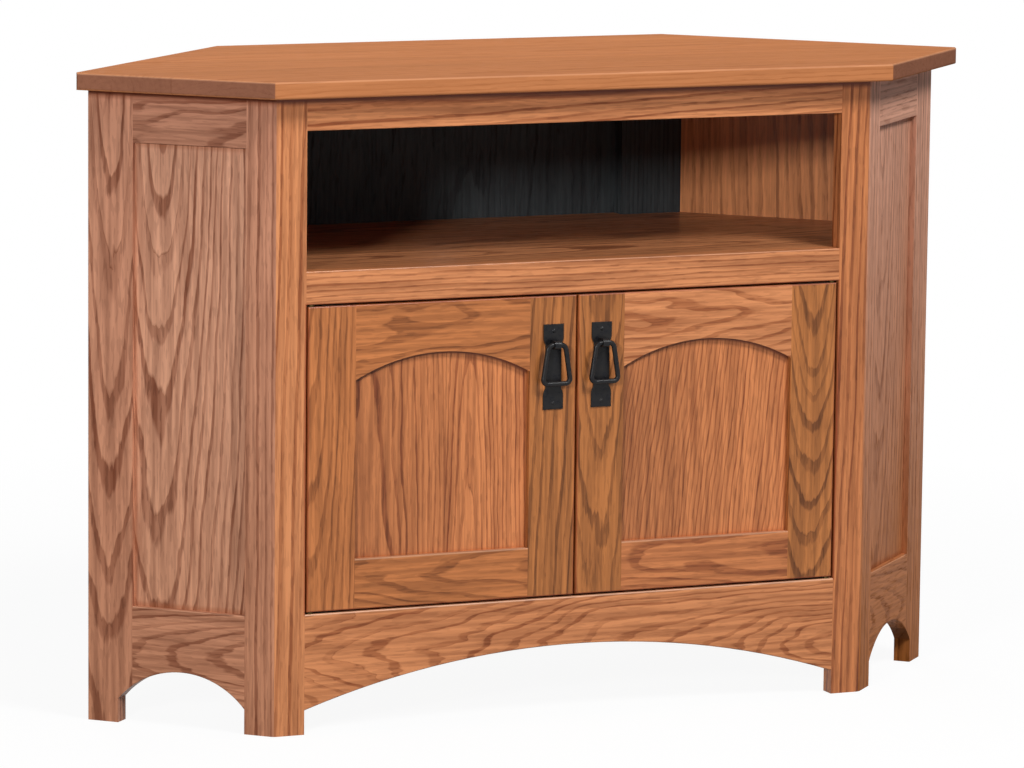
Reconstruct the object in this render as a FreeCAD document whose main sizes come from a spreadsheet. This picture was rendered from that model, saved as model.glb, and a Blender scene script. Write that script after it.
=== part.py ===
import FreeCAD, Part
import math
import os
import re

import Sketcher

# Corner cabinet for a television: an oak face frame with an open bay over a pair of inset
# doors, two canted frame-and-panel sides, and a back that fits the corner of a room.
# Millimetres, +Z up, front towards -Y. The origin is the middle of the footprint, on the floor.

Vector = FreeCAD.Vector
doc = FreeCAD.newDocument("CornerCabinet")

# Every driving size has one cell in the sheet: its name, its value and what it measures.
SIZES = (
    ("face_width", 743, "front of the body, corner to corner"),
    ("side_length", 234.5, "canted side, from the front corner to its tip"),
    ("body_depth", 412.6, "front face to the flat back"),
    ("base_height", 139, "floor to the door opening"),
    ("door_opening_height", 355, "height of the door opening"),
    ("middle_rail_height", 38, "rail between the doors and the open bay"),
    ("bay_height", 159, "height of the open bay's mouth"),
    ("top_rail_height", 39, "rail under the top"),
    ("stock_thickness", 20, "oak boards of the frames"),
    ("deck_thickness", 18, "shelf boards"),
    ("panel_thickness", 6, "flat panels and back boards"),
    ("groove_depth", 8, "groove that holds a panel and the rails' tongues"),
    ("panel_play", 1, "room left at a panel's edge"),
    ("corner_round", 10, "rounding of the two front corners"),
    ("edge_round", 1.5, "easing of the boards' edges"),
    ("arch_bevel", 1, "bevel along the front arch"),
    ("top_thickness", 20, "top board"),
    ("top_overhang", 31, "top board past the front and the canted sides"),
    ("top_edge_round", 3, "easing of the top board"),
    ("stile_width", 37, "front stiles"),
    ("foot_height", 28, "floor to the springing of the arches"),
    ("front_arch_rise", 55, "rise of the front arch"),
    ("side_front_stile_width", 37, "front stile of a canted side"),
    ("side_back_stile_width", 56.5, "back stile of a canted side"),
    ("side_foot_width", 38.5, "back stile where it reaches the floor"),
    ("side_top_rail_height", 59.5, "top rail of a canted side"),
    ("side_base_height", 137, "floor to the panel of a canted side"),
    ("side_arch_rise", 36.5, "rise of the side arches"),
    ("tongue_shoulder", 24, "wood under the tongue of a side's bottom rail"),
    ("rabbet_width", 10, "step in the back stile that takes the back board"),
    ("post_width", 60, "rear posts"),
    ("rear_rail_height", 40, "rails between the rear posts"),
    ("cleat_size", 20, "square cleats under the top and the decks"),
    ("cleat_inset", 12, "cleat back from the ends of its side"),
    ("cleat_reach", 150, "front and rear cleats, each way from the middle"),
    ("cleat_screw_share", 0.7, "where a cleat's screws sit, as a share of its half length"),
    ("cable_hole_diameter", 40, "cable holes in the back"),
    ("lower_cable_rise", 240, "lower cable hole, above the bottom deck"),
    ("upper_cable_rise", 136.5, "upper cable hole, above the shelf deck"),
    ("back_screw_margin", 30, "first and last back screws, in from the board's ends"),
    ("door_gap", 2.5, "gap around and between the doors"),
    ("door_stile_width", 58, "door stiles"),
    ("door_rail_height", 58, "door rails, at their narrowest"),
    ("door_arch_rise", 28, "rise of the arched door rail"),
    ("pivot_inset", 5, "hinge pin, in from the door's outer edge"),
    ("pivot_setback", 5, "hinge pin, behind the door's front face"),
    ("hinge_pin_radius", 2, "hinge pin"),
    ("pin_clearance", 0.05, "room around a pin in its hole"),
    ("leaf_thickness", 3, "hinge leaf"),
    ("leaf_length", 40, "hinge leaf, from the pin to its end"),
    ("leaf_width", 9, "hinge leaf, front to back"),
    ("leaf_lobe_radius", 3.5, "round nose of the leaf about the pin"),
    ("leaf_screw_start", 15, "first leaf screw, from the pin"),
    ("leaf_screw_pitch", 16, "between a leaf's two screws"),
    ("washer_radius", 3.4, "hinge washer"),
    ("washer_clearance", 0.1, "room between the washer and the door's leaf"),
    ("strike_width", 40, "steel strike plate on the door's back"),
    ("strike_height", 12, "strike plate"),
    ("strike_thickness", 1.5, "strike plate"),
    ("strike_drop", 1.5, "strike plate below the door's top edge"),
    ("catch_gap", 0.3, "strike plate to magnet"),
    ("catch_width", 44, "magnetic catch"),
    ("catch_depth", 20, "magnetic catch, front to back"),
    ("catch_height", 14, "magnetic catch"),
    ("catch_lip", 3, "steel pole of the catch, top and bottom"),
    ("catch_recess", 2, "magnet behind the catch's poles"),
    ("catch_offset", 34, "catch, from the middle of the cabinet"),
    ("catch_block_depth", 32, "block that carries the catches"),
    ("catch_block_reach", 60, "block, each way from the middle"),
    ("shelf_setback", 12, "adjustable shelf behind the face frame"),
    ("shelf_side_play", 2, "room around the adjustable shelf"),
    ("shelf_lift_play", 0.3, "room between the shelf and its pins"),
    ("shelf_pin_radius", 3, "shelf pins and their holes"),
    ("shelf_pin_seat", 10, "pin inside the stile"),
    ("shelf_pin_reach", 10, "pin under the shelf"),
    ("shelf_pin_collar", 4, "radius of the pin's collar"),
    ("shelf_collar_thickness", 1.5, "pin's collar"),
    ("shelf_hole_start", 101, "lowest shelf hole, above the bottom deck"),
    ("shelf_hole_pitch", 32, "between shelf holes"),
    ("shelf_hole_inset", 24, "shelf holes, in from the side's ends"),
    ("plate_height", 99, "back plate of a pull"),
    ("plate_ear_width", 25, "back plate at its ends"),
    ("plate_waist_width", 19.6, "back plate at its waist"),
    ("plate_ear_height", 14, "straight part of the plate's ears"),
    ("plate_shoulder_height", 10, "curve between the ear and the waist"),
    ("plate_shoulder_radius", 16, "curve between the ear and the waist"),
    ("plate_thickness", 2, "back plate of a pull"),
    ("plate_bevel", 0.7, "bevel around the back plate"),
    ("pull_height", 268, "middle of the pull, above the door's bottom edge"),
    ("bail_rise", 26.5, "bail's pivot, above the middle of the plate"),
    ("bail_standoff", 9, "bail's pivot, in front of the plate"),
    ("bail_wire_radius", 2.9, "round wire of the bail"),
    ("bail_top_width", 21, "bail between its wire's centre lines, at the pivot"),
    ("bail_bottom_width", 35, "bail between its wire's centre lines, at the bottom"),
    ("bail_drop", 45, "pivot to the bottom bar"),
    ("bail_top_bend", 7, "bend of the wire at the pivot"),
    ("bail_bottom_bend", 5.5, "bend of the wire at the bottom"),
    ("knuckle_width", 8, "knuckle that holds the bail"),
    ("knuckle_radius", 5, "round nose of the knuckle"),
    ("nail_head_radius", 2.6, "round nail heads of a pull"),
    ("nail_head_height", 1.3, "round nail heads of a pull"),
    ("nail_radius", 1, "nails of a pull"),
    ("nail_length", 14, "nails of a pull"),
    ("nail_inset", 7.5, "nails, in from the plate's ends"),
    ("screw_head_radius", 3.5, "countersunk screws"),
    ("screw_head_height", 2, "countersunk screws"),
    ("screw_radius", 1.75, "countersunk screws"),
    ("screw_tip", 3, "point of a screw"),
    ("long_screw_length", 32, "screws through the cleats"),
    ("short_screw_length", 18, "screws of the back and the catches"),
    ("leaf_screw_radius", 1.2, "small screws of the hinges"),
    ("leaf_screw_head", 2.6, "heads of the small screws"),
    ("leaf_screw_length", 14, "small screws of the hinges"),
)
ALIASES = {alias for alias, _, _ in SIZES}

sheet = doc.addObject("Spreadsheet::Sheet", "Sizes")
for row, (alias, size, note) in enumerate(SIZES, start=1):
    sheet.set(f"A{row}", note)
    sheet.set(f"B{row}", str(size))
    sheet.setAlias(f"B{row}", alias)
doc.recompute()

# The room's corner is square, so the sides turn by half a right angle and their mitres by half that.
SIDE_TURN = 45
MITRE_TURN = SIDE_TURN / 2
DIAGONAL = f"cos({SIDE_TURN} deg)"
MITRE = f"tan({MITRE_TURN} deg)"
LEFT, RIGHT = -1, 1
HAND_NAMES = {LEFT: "left", RIGHT: "right"}
NEAR = 0.01

# Places worked out from the sizes, seen from above: x from the middle, y from the front face.
HALF_FACE = "(face_width / 2)"
HALF_OPENING = "(face_width / 2 - stile_width)"
FRONT_Y = "((top_overhang - body_depth) / 2)"
TIP_X = f"(face_width / 2 + side_length * {DIAGONAL})"
TIP_Y = f"(side_length * {DIAGONAL})"
WALL_SUM = f"(face_width / 2 + 2 * side_length * {DIAGONAL})"
REAR_CORNER_X = f"({WALL_SUM} - body_depth)"
WALL_LENGTH = f"(({TIP_X} - {REAR_CORNER_X}) / {DIAGONAL})"
INNER_WALL_SUM = f"({WALL_SUM} - panel_thickness / {DIAGONAL})"
INNER_SIDE_GAP = f"(face_width / 2 - stock_thickness / {DIAGONAL})"
BACK_Y = "(body_depth - panel_thickness)"
POST_Y = "(body_depth - panel_thickness - stock_thickness)"
POST_X = f"({INNER_WALL_SUM} - {BACK_Y} - post_width)"

# Heights.
SHELF_TOP = "(base_height + door_opening_height + middle_rail_height)"
SHELF_UNDER = f"({SHELF_TOP} - deck_thickness)"
BAY_TOP = f"({SHELF_TOP} + bay_height)"
BODY_HEIGHT = f"({BAY_TOP} + top_rail_height)"
DECK_UNDER = "(base_height - deck_thickness)"
DOOR_BOTTOM = "(base_height + door_gap)"
DOOR_HEIGHT = "(door_opening_height - 2 * door_gap)"
DOOR_WIDTH = f"({HALF_OPENING} - 1.5 * door_gap)"
SIDE_RAIL_UNDER = f"({BODY_HEIGHT} - side_top_rail_height)"
SHELF_HOLES = 5
SHELF_PIN_ROW = 2

# A panel's groove runs along the middle of the boards' thickness.
GROOVE_FRONT = "((stock_thickness - panel_thickness) / 2)"
GROOVE_BACK = "((stock_thickness + panel_thickness) / 2)"
PANEL_GRIP = "(groove_depth - panel_play)"

nodes = {}


def in_sheet(text):
    """Point the size names in an expression at the sheet."""
    return re.sub(r"[a-z][a-z_]*", lambda word: "Sizes." + word[0] if word[0] in ALIASES else word[0], text)


def bind(item, field, text):
    item.setExpression(field, in_sheet(text))


def number(text):
    return float(sheet.evalExpression(in_sheet(text)))


def keep(item):
    """Count an object as one of the cabinet's nodes."""
    nodes[item.Label] = item
    return item


# Four frames carry the pieces. Each is a turn about Z and a corner: "front" stands on the
# middle of the front face, "side" on a front corner with x along the canted side, and
# "wall" on a side's tip with x along the room's wall. In all of them y runs into the cabinet.
FRAMES = {
    "front": (0, "0", "0"),
    "side": (SIDE_TURN, HALF_FACE, "0"),
    "wall": (3 * SIDE_TURN, TIP_X, TIP_Y),
}


def in_frame(frame, hand, along, inward):
    """Expressions for the place of a point given in one of the frames."""
    turn, corner_x, corner_y = FRAMES[frame]
    x = f"{hand} * ({corner_x} + ({along}) * cos({turn} deg) - ({inward}) * sin({turn} deg))"
    y = f"{FRONT_Y} + {corner_y} + ({along}) * sin({turn} deg) + ({inward}) * cos({turn} deg)"
    return x, y


def place(item, x, y, z, turn=None):
    item.Placement = FreeCAD.Placement(Vector(), turn or FreeCAD.Rotation())
    bind(item, "Placement.Base.x", x)
    bind(item, "Placement.Base.y", y)
    bind(item, "Placement.Base.z", z)


def new_body(label, frame="front", hand=RIGHT, height="0"):
    body = doc.addObject("PartDesign::Body", label)
    body.Label = label
    turn, _, _ = FRAMES[frame]
    x, y = in_frame(frame, hand, "0", "0")
    place(body, x, y, height, FreeCAD.Rotation(Vector(0, 0, 1), hand * turn))
    return body


# A view is the plane that an outline is drawn on, the way that its thickness runs, and the
# sign that turns a place along that way into an offset of the plane.
VIEWS = {"plan": ("XY_Plane", 1), "front": ("XZ_Plane", -1), "end": ("YZ_Plane", 1)}


def new_sketch(body, view, start="0"):
    role, sign = VIEWS[view]
    sketch = body.newObject("Sketcher::SketchObject", body.Name + "_outline")
    plane = next(item for item in body.Origin.OriginFeatures if item.Role == role)
    sketch.AttachmentSupport = [(plane, "")]
    sketch.MapMode = "FlatFace"
    bind(sketch, "AttachmentOffset.Base.z", f"{sign} * ({start})")
    return sketch


def fix(sketch, kind, geometry, text, *point):
    """Add a named dimension to a sketch and bind it to the sheet."""
    name = f"{kind.lower()}_{geometry}"
    index = sketch.addConstraint(Sketcher.Constraint(kind, geometry, *point, number(text)))
    sketch.renameConstraint(index, name)
    bind(sketch, f"Constraints.{name}", text)


def arc_between(start, finish, radius, turn):
    """The short arc from start to finish, which bends left (turn 1) or right (turn -1)."""
    chord = finish - start
    reach = math.sqrt(max(radius ** 2 - (chord.Length / 2) ** 2, 0))
    middle = (start + finish) / 2
    centre = middle + Vector(-chord.y, chord.x, 0) * (turn * reach / chord.Length)
    first, last = (start, finish) if turn > 0 else (finish, start)
    from_angle = math.atan2(first.y - centre.y, first.x - centre.x)
    to_angle = math.atan2(last.y - centre.y, last.x - centre.x)
    if to_angle < from_angle:
        to_angle += 2 * math.pi
    return Part.ArcOfCircle(Part.Circle(centre, Vector(0, 0, 1), radius), from_angle, to_angle)


def draw(sketch, points, arcs=None):
    """Draw a closed outline. Points are pairs of expressions; arcs maps the number of an
    edge to its radius and its turn, and every other edge is a straight line."""
    arcs = arcs or {}
    places = [Vector(number(x), number(y), 0) for x, y in points]
    joints = []
    for edge, start in enumerate(places):
        finish = places[(edge + 1) % len(places)]
        if edge in arcs:
            radius, turn = arcs[edge]
            geometry = sketch.addGeometry(arc_between(start, finish, number(radius), turn), False)
            joints.append((geometry, 1, 2) if turn > 0 else (geometry, 2, 1))
            fix(sketch, "Radius", geometry, radius)
        else:
            geometry = sketch.addGeometry(Part.LineSegment(start, finish), False)
            joints.append((geometry, 1, 2))
    for edge, (geometry, start, finish) in enumerate(joints):
        following, following_start, _ = joints[(edge + 1) % len(joints)]
        sketch.addConstraint(Sketcher.Constraint("Coincident", geometry, finish, following, following_start))
        fix(sketch, "DistanceX", geometry, points[edge][0], start)
        fix(sketch, "DistanceY", geometry, points[edge][1], start)


def draw_circle(sketch, x, y, radius):
    """Draw a circle; its centre is point 3 of the geometry."""
    shape = Part.Circle(Vector(number(x), number(y), 0), Vector(0, 0, 1), number(radius))
    geometry = sketch.addGeometry(shape, False)
    fix(sketch, "Radius", geometry, radius)
    fix(sketch, "DistanceX", geometry, x, 3)
    fix(sketch, "DistanceY", geometry, y, 3)


def add(body, sketch, view, thickness):
    """Pad a sketch along +Z, +Y or +X and make sure that the body grew."""
    before = body.Shape.Volume if body.Tip else 0
    feature = body.newObject("PartDesign::Pad", body.Name + "_pad")
    feature.Profile = sketch
    feature.Reversed = VIEWS[view][1] < 0
    bind(feature, "Length", thickness)
    doc.recompute()
    if body.Shape.Volume <= before:
        raise RuntimeError(f"{body.Label}: a pad added nothing")


def remove(body, sketch, view, thickness):
    """Pocket a sketch along +Z, +Y or +X and make sure that the body shrank."""
    before = body.Shape.Volume
    feature = body.newObject("PartDesign::Pocket", body.Name + "_pocket")
    feature.Profile = sketch
    feature.Reversed = VIEWS[view][1] > 0
    bind(feature, "Length", thickness)
    doc.recompute()
    if body.Shape.Volume >= before:
        raise RuntimeError(f"{body.Label}: a pocket cut nothing")


def dress(body, kind, field, size, chosen):
    """Dress the edges whose bounding boxes the test picks."""
    tip = body.Tip
    names = [f"Edge{index}" for index, edge in enumerate(tip.Shape.Edges, 1) if chosen(edge.BoundBox)]
    if not names:
        raise RuntimeError(f"{body.Label}: no edge to dress")
    feature = body.newObject("PartDesign::" + kind, body.Name + "_edge")
    feature.Base = (tip, names)
    bind(feature, field, size)
    doc.recompute()


def ease(body, radius, chosen):
    dress(body, "Fillet", "Radius", radius, chosen)


def bevel(body, size, chosen):
    dress(body, "Chamfer", "Size", size, chosen)


def box(x0, x1, y0, y1):
    return [(x0, y0), (x1, y0), (x1, y1), (x0, y1)]


def lay(points, hand=RIGHT, start="0", way=1):
    """Turn distances along a board into x: from `start`, towards or away from the hand's side."""
    return [(f"{hand} * ({start} + {way} * ({along}))", y) for along, y in points]


def lay_arcs(arcs, hand=RIGHT, way=1):
    return {edge: (radius, turn * hand * way) for edge, (radius, turn) in arcs.items()}


def both_halves(points):
    """Close an outline that is the same on both sides of x = 0, from its right half."""
    return points + [(f"-({x})", y) for x, y in reversed(points)]


def arc_radius(chord, rise):
    """Expression for the radius of an arc from its chord and its rise."""
    return f"((({chord}) ^ 2 / 4 + ({rise}) ^ 2) / (2 * ({rise})))"


def board(label, outline, view, start, thickness, frame="front", hand=RIGHT, height="0", arcs=None):
    """A board: one outline, drawn in a view, with a thickness."""
    body = new_body(label, frame, hand, height)
    sketch = new_sketch(body, view, start)
    draw(sketch, outline, arcs)
    add(body, sketch, view, thickness)
    return body


def extend(body, outline, view, start, thickness, arcs=None):
    sketch = new_sketch(body, view, start)
    draw(sketch, outline, arcs)
    add(body, sketch, view, thickness)


def carve(body, outline, view, start, thickness, arcs=None):
    sketch = new_sketch(body, view, start)
    draw(sketch, outline, arcs)
    remove(body, sketch, view, thickness)


def group(label, items):
    """Several separate solids that share one node."""
    compound = doc.addObject("Part::Compound", label)
    compound.Label = label
    compound.Links = items
    doc.recompute()
    return compound


def on_front(bounds):
    """Edges of the front face that run along a rail, arches included."""
    return bounds.YMax < NEAR and bounds.XLength > bounds.ZLength


# Fasteners. Each kind is turned once, with its head at z = 0 and facing +Z, and then linked.

HEAD_FORWARD = FreeCAD.Rotation(Vector(1, 0, 0), 90)
HEAD_BACKWARD = FreeCAD.Rotation(Vector(1, 0, 0), -90)
HEAD_DOWN = FreeCAD.Rotation(Vector(1, 0, 0), 180)
HEAD_UP = FreeCAD.Rotation()


def turned_body(label, profile, arcs=None):
    body = doc.addObject("PartDesign::Body", label)
    sketch = new_sketch(body, "front")
    draw(sketch, profile, arcs)
    feature = body.newObject("PartDesign::Revolution", label + "_turned")
    feature.Profile = sketch
    feature.ReferenceAxis = (sketch, ["V_Axis"])
    feature.Angle = 360
    doc.recompute()
    return body


def screw_kind(label, head, radius, length):
    """A countersunk wood screw."""
    profile = [
        ("0", "0"),
        (head, "0"),
        (radius, "-screw_head_height"),
        (radius, f"screw_tip - {length}"),
        ("0", f"-{length}"),
    ]
    return turned_body(label, profile)


def fastener(kind, x, y, z, turn):
    link = doc.addObject("App::Link", kind.Label + "_placed")
    link.LinkedObject = kind
    link.LinkTransform = False
    place(link, x, y, z, turn)
    return link


long_screw = screw_kind("long_screw", "screw_head_radius", "screw_radius", "long_screw_length")
short_screw = screw_kind("short_screw", "screw_head_radius", "screw_radius", "short_screw_length")
leaf_screw = screw_kind("leaf_screw", "leaf_screw_head", "leaf_screw_radius", "leaf_screw_length")
NAIL_PROFILE = [
    ("0", "nail_head_height"),
    ("nail_head_radius", "0"),
    ("nail_radius", "0"),
    ("nail_radius", "-nail_length"),
    ("0", "-nail_length"),
]
pull_nail = turned_body("pull_nail", NAIL_PROFILE, {0: (arc_radius("2 * nail_head_radius", "nail_head_height"), -1)})


# Boards that meet at a front corner: a mitred stile with its half of the rounded corner.

def corner_stile(label, frame, hand, width, start="0", way=1):
    points = [
        (f"corner_round * {MITRE}", "0"),
        (f"corner_round * ({MITRE} - sin({MITRE_TURN} deg))", f"corner_round * (1 - cos({MITRE_TURN} deg))"),
        (f"stock_thickness * {MITRE}", "stock_thickness"),
        (width, "stock_thickness"),
        (width, "0"),
    ]
    arcs = lay_arcs({0: ("corner_round", -1)}, hand, way)
    return board(label, lay(points, hand, start, way), "plan", "0", BODY_HEIGHT, frame, hand, arcs=arcs)


def make_top():
    corner_x = f"{HALF_FACE} + top_overhang * {MITRE}"
    right_half = [
        (corner_x, "-top_overhang"),
        (f"{TIP_X} + top_overhang * {DIAGONAL}", f"{TIP_Y} - top_overhang * {DIAGONAL}"),
        (REAR_CORNER_X, "body_depth"),
    ]
    top = board("top_board", both_halves(right_half), "plan", "0", "top_thickness", height=BODY_HEIGHT)
    tip_y = number(f"{TIP_Y} - top_overhang * {DIAGONAL}")
    ease(top, "top_edge_round", lambda bounds: bounds.YMax < tip_y + NEAR)
    keep(top)


def hinge_outline():
    """Outline of a hinge leaf from the door's outer edge: a strap with a round nose at the pin."""
    near = "pivot_inset - leaf_lobe_radius"
    far = "pivot_inset + leaf_length"
    back = "pivot_setback + leaf_width"
    points = [(near, "pivot_setback"), (near, back), (far, back), (far, "pivot_setback"),
              ("pivot_inset + leaf_lobe_radius", "pivot_setback"), ("pivot_inset", "pivot_setback - leaf_lobe_radius")]
    return points, {4: ("leaf_lobe_radius", -1), 5: ("leaf_lobe_radius", -1)}


# Distances along a door start at its outer edge and run towards the middle of the cabinet.
DOOR_EDGE = f"({HALF_OPENING} - door_gap)"


def carve_leaf_seat(body, hand, start):
    points, arcs = hinge_outline()
    carve(body, lay(points, hand, DOOR_EDGE, -1), "plan", start, "leaf_thickness", lay_arcs(arcs, hand, -1))


def make_face_frame():
    for hand, name in HAND_NAMES.items():
        keep(corner_stile(f"{name}_front_stile", "front", hand, "stile_width", HALF_FACE, -1))

    span = (f"-{HALF_OPENING}", HALF_OPENING)
    top_rail = board("front_top_rail", box(*span, BAY_TOP, BODY_HEIGHT), "front", "0", "stock_thickness")
    ease(top_rail, "edge_round", lambda bounds: on_front(bounds) and bounds.ZMax < number(BAY_TOP) + NEAR)
    keep(top_rail)

    middle_bottom = f"({SHELF_TOP} - middle_rail_height)"
    middle_rail = board("middle_rail", box(*span, middle_bottom, SHELF_TOP), "front", "0", "stock_thickness")
    ease(middle_rail, "edge_round", on_front)
    for hand in HAND_NAMES:
        carve_leaf_seat(middle_rail, hand, middle_bottom)
    keep(middle_rail)

    radius = arc_radius(f"2 * {HALF_OPENING}", "front_arch_rise")
    outline = box(*span, "foot_height", "base_height")
    bottom_rail = board("bottom_rail", outline, "front", "0", "stock_thickness", arcs={0: (radius, -1)})
    base_top = number("base_height")
    bevel(bottom_rail, "arch_bevel", lambda bounds: on_front(bounds) and bounds.ZMax < base_top - NEAR)
    ease(bottom_rail, "edge_round", lambda bounds: on_front(bounds) and bounds.ZMin > base_top - NEAR)
    for hand in HAND_NAMES:
        carve_leaf_seat(bottom_rail, hand, "base_height - leaf_thickness")
    keep(bottom_rail)


# Side arches spring from the front stile and from the back foot.
SIDE_ARCH_START = "side_front_stile_width"
SIDE_ARCH_END = "(side_length - side_foot_width)"
SIDE_ARCH_CHORD = f"({SIDE_ARCH_END} - {SIDE_ARCH_START})"
SIDE_ARCH_RADIUS = arc_radius(SIDE_ARCH_CHORD, "side_arch_rise")
SIDE_ARCH_MIDDLE = f"({SIDE_ARCH_START} + {SIDE_ARCH_CHORD} / 2)"
SIDE_ARCH_CENTRE = f"(foot_height + side_arch_rise - {SIDE_ARCH_RADIUS})"
SIDE_RAIL_END = "(side_length - side_back_stile_width)"
ARCH_AT_STILE = f"({SIDE_ARCH_CENTRE} + sqrt({SIDE_ARCH_RADIUS} ^ 2 - ({SIDE_RAIL_END} - {SIDE_ARCH_MIDDLE}) ^ 2))"
TONGUE_BOTTOM = "(foot_height + tongue_shoulder)"


def carve_shelf_holes(body, hand, along):
    sketch = new_sketch(body, "front", "stock_thickness - shelf_pin_seat")
    for row in range(SHELF_HOLES):
        draw_circle(sketch, f"{hand} * ({along})", f"base_height + shelf_hole_start + {row} * shelf_hole_pitch",
                    "shelf_pin_radius")
    remove(body, sketch, "front", "shelf_pin_seat")


def make_side(hand):
    name = HAND_NAMES[hand]
    groove = (GROOVE_FRONT, GROOVE_BACK)
    tongue_span = f"{BODY_HEIGHT} - {TONGUE_BOTTOM}"

    front_stile = corner_stile(f"{name}_side_front_stile", "side", hand, "side_front_stile_width")
    slot = box("side_front_stile_width - groove_depth", "side_front_stile_width", *groove)
    carve(front_stile, lay(slot, hand), "plan", TONGUE_BOTTOM, tongue_span)
    carve_shelf_holes(front_stile, hand, "shelf_hole_inset")
    keep(front_stile)

    outline = [
        ("side_length", "0"),
        ("side_length", BODY_HEIGHT),
        (SIDE_RAIL_END, BODY_HEIGHT),
        (SIDE_RAIL_END, ARCH_AT_STILE),
        (SIDE_ARCH_END, "foot_height"),
        (SIDE_ARCH_END, "0"),
    ]
    arcs = lay_arcs({3: (SIDE_ARCH_RADIUS, -1)}, hand)
    back_stile = board(f"{name}_side_back_stile", lay(outline, hand), "front", "0", "stock_thickness",
                       "side", hand, arcs=arcs)
    tip = number("side_length")
    ease(back_stile, "edge_round", lambda bounds: bounds.YMax < NEAR and bounds.ZLength > tip
         and max(abs(bounds.XMin), abs(bounds.XMax)) > tip - NEAR)
    slot = box(SIDE_RAIL_END, f"{SIDE_RAIL_END} + groove_depth", *groove)
    carve(back_stile, lay(slot, hand), "plan", TONGUE_BOTTOM, tongue_span)
    step = box("side_length - panel_thickness", "side_length", "stock_thickness - rabbet_width", "stock_thickness")
    carve(back_stile, lay(step, hand), "plan", DECK_UNDER, f"{BODY_HEIGHT} - {DECK_UNDER}")
    carve_shelf_holes(back_stile, hand, "side_length - panel_thickness - shelf_hole_inset")
    keep(back_stile)

    inner, outer = "side_front_stile_width", SIDE_RAIL_END
    far = (f"{inner} - groove_depth", f"{outer} + groove_depth")
    outline = box(inner, outer, SIDE_RAIL_UNDER, BODY_HEIGHT)
    top_rail = board(f"{name}_side_top_rail", lay(outline, hand), "front", "0", "stock_thickness", "side", hand)
    ease(top_rail, "edge_round", lambda bounds: on_front(bounds) and bounds.ZMax < number(SIDE_RAIL_UNDER) + NEAR)
    extend(top_rail, lay(box(*far, SIDE_RAIL_UNDER, BODY_HEIGHT), hand), "front", GROOVE_FRONT, "panel_thickness")
    slot = box(*far, SIDE_RAIL_UNDER, f"{SIDE_RAIL_UNDER} + groove_depth")
    carve(top_rail, lay(slot, hand), "front", GROOVE_FRONT, "panel_thickness")
    keep(top_rail)

    outline = [
        (inner, "foot_height"),
        (outer, ARCH_AT_STILE),
        (outer, "side_base_height"),
        (inner, "side_base_height"),
    ]
    arcs = lay_arcs({0: (SIDE_ARCH_RADIUS, -1)}, hand)
    bottom_rail = board(f"{name}_side_bottom_rail", lay(outline, hand), "front", "0", "stock_thickness",
                        "side", hand, arcs=arcs)
    ease(bottom_rail, "edge_round", on_front)
    for near, beyond in ((far[0], inner), (outer, far[1])):
        tongue = box(near, beyond, TONGUE_BOTTOM, "side_base_height")
        extend(bottom_rail, lay(tongue, hand), "front", GROOVE_FRONT, "panel_thickness")
    slot = box(*far, "side_base_height - groove_depth", "side_base_height")
    carve(bottom_rail, lay(slot, hand), "front", GROOVE_FRONT, "panel_thickness")
    keep(bottom_rail)

    outline = box(f"{inner} - {PANEL_GRIP}", f"{outer} + {PANEL_GRIP}",
                  f"side_base_height - {PANEL_GRIP}", f"{SIDE_RAIL_UNDER} + {PANEL_GRIP}")
    keep(board(f"{name}_side_panel", lay(outline, hand), "front", GROOVE_FRONT, "panel_thickness", "side", hand))


# The back: two boards along the room's walls and one across the corner.

SCREW_ROWS = 3


def back_screw_heights():
    span = f"({BODY_HEIGHT} - {DECK_UNDER} - 2 * back_screw_margin)"
    return [f"{DECK_UNDER} + back_screw_margin + {row} * {span} / {SCREW_ROWS - 1}" for row in range(SCREW_ROWS)]


def screwed_board(label, plain, screws):
    """A board with a countersunk hole for each of its screws."""
    pierced = doc.addObject("Part::Cut", label)
    pierced.Label = label
    pierced.Base = plain
    pierced.Tool = screws
    doc.recompute()
    return pierced


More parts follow.
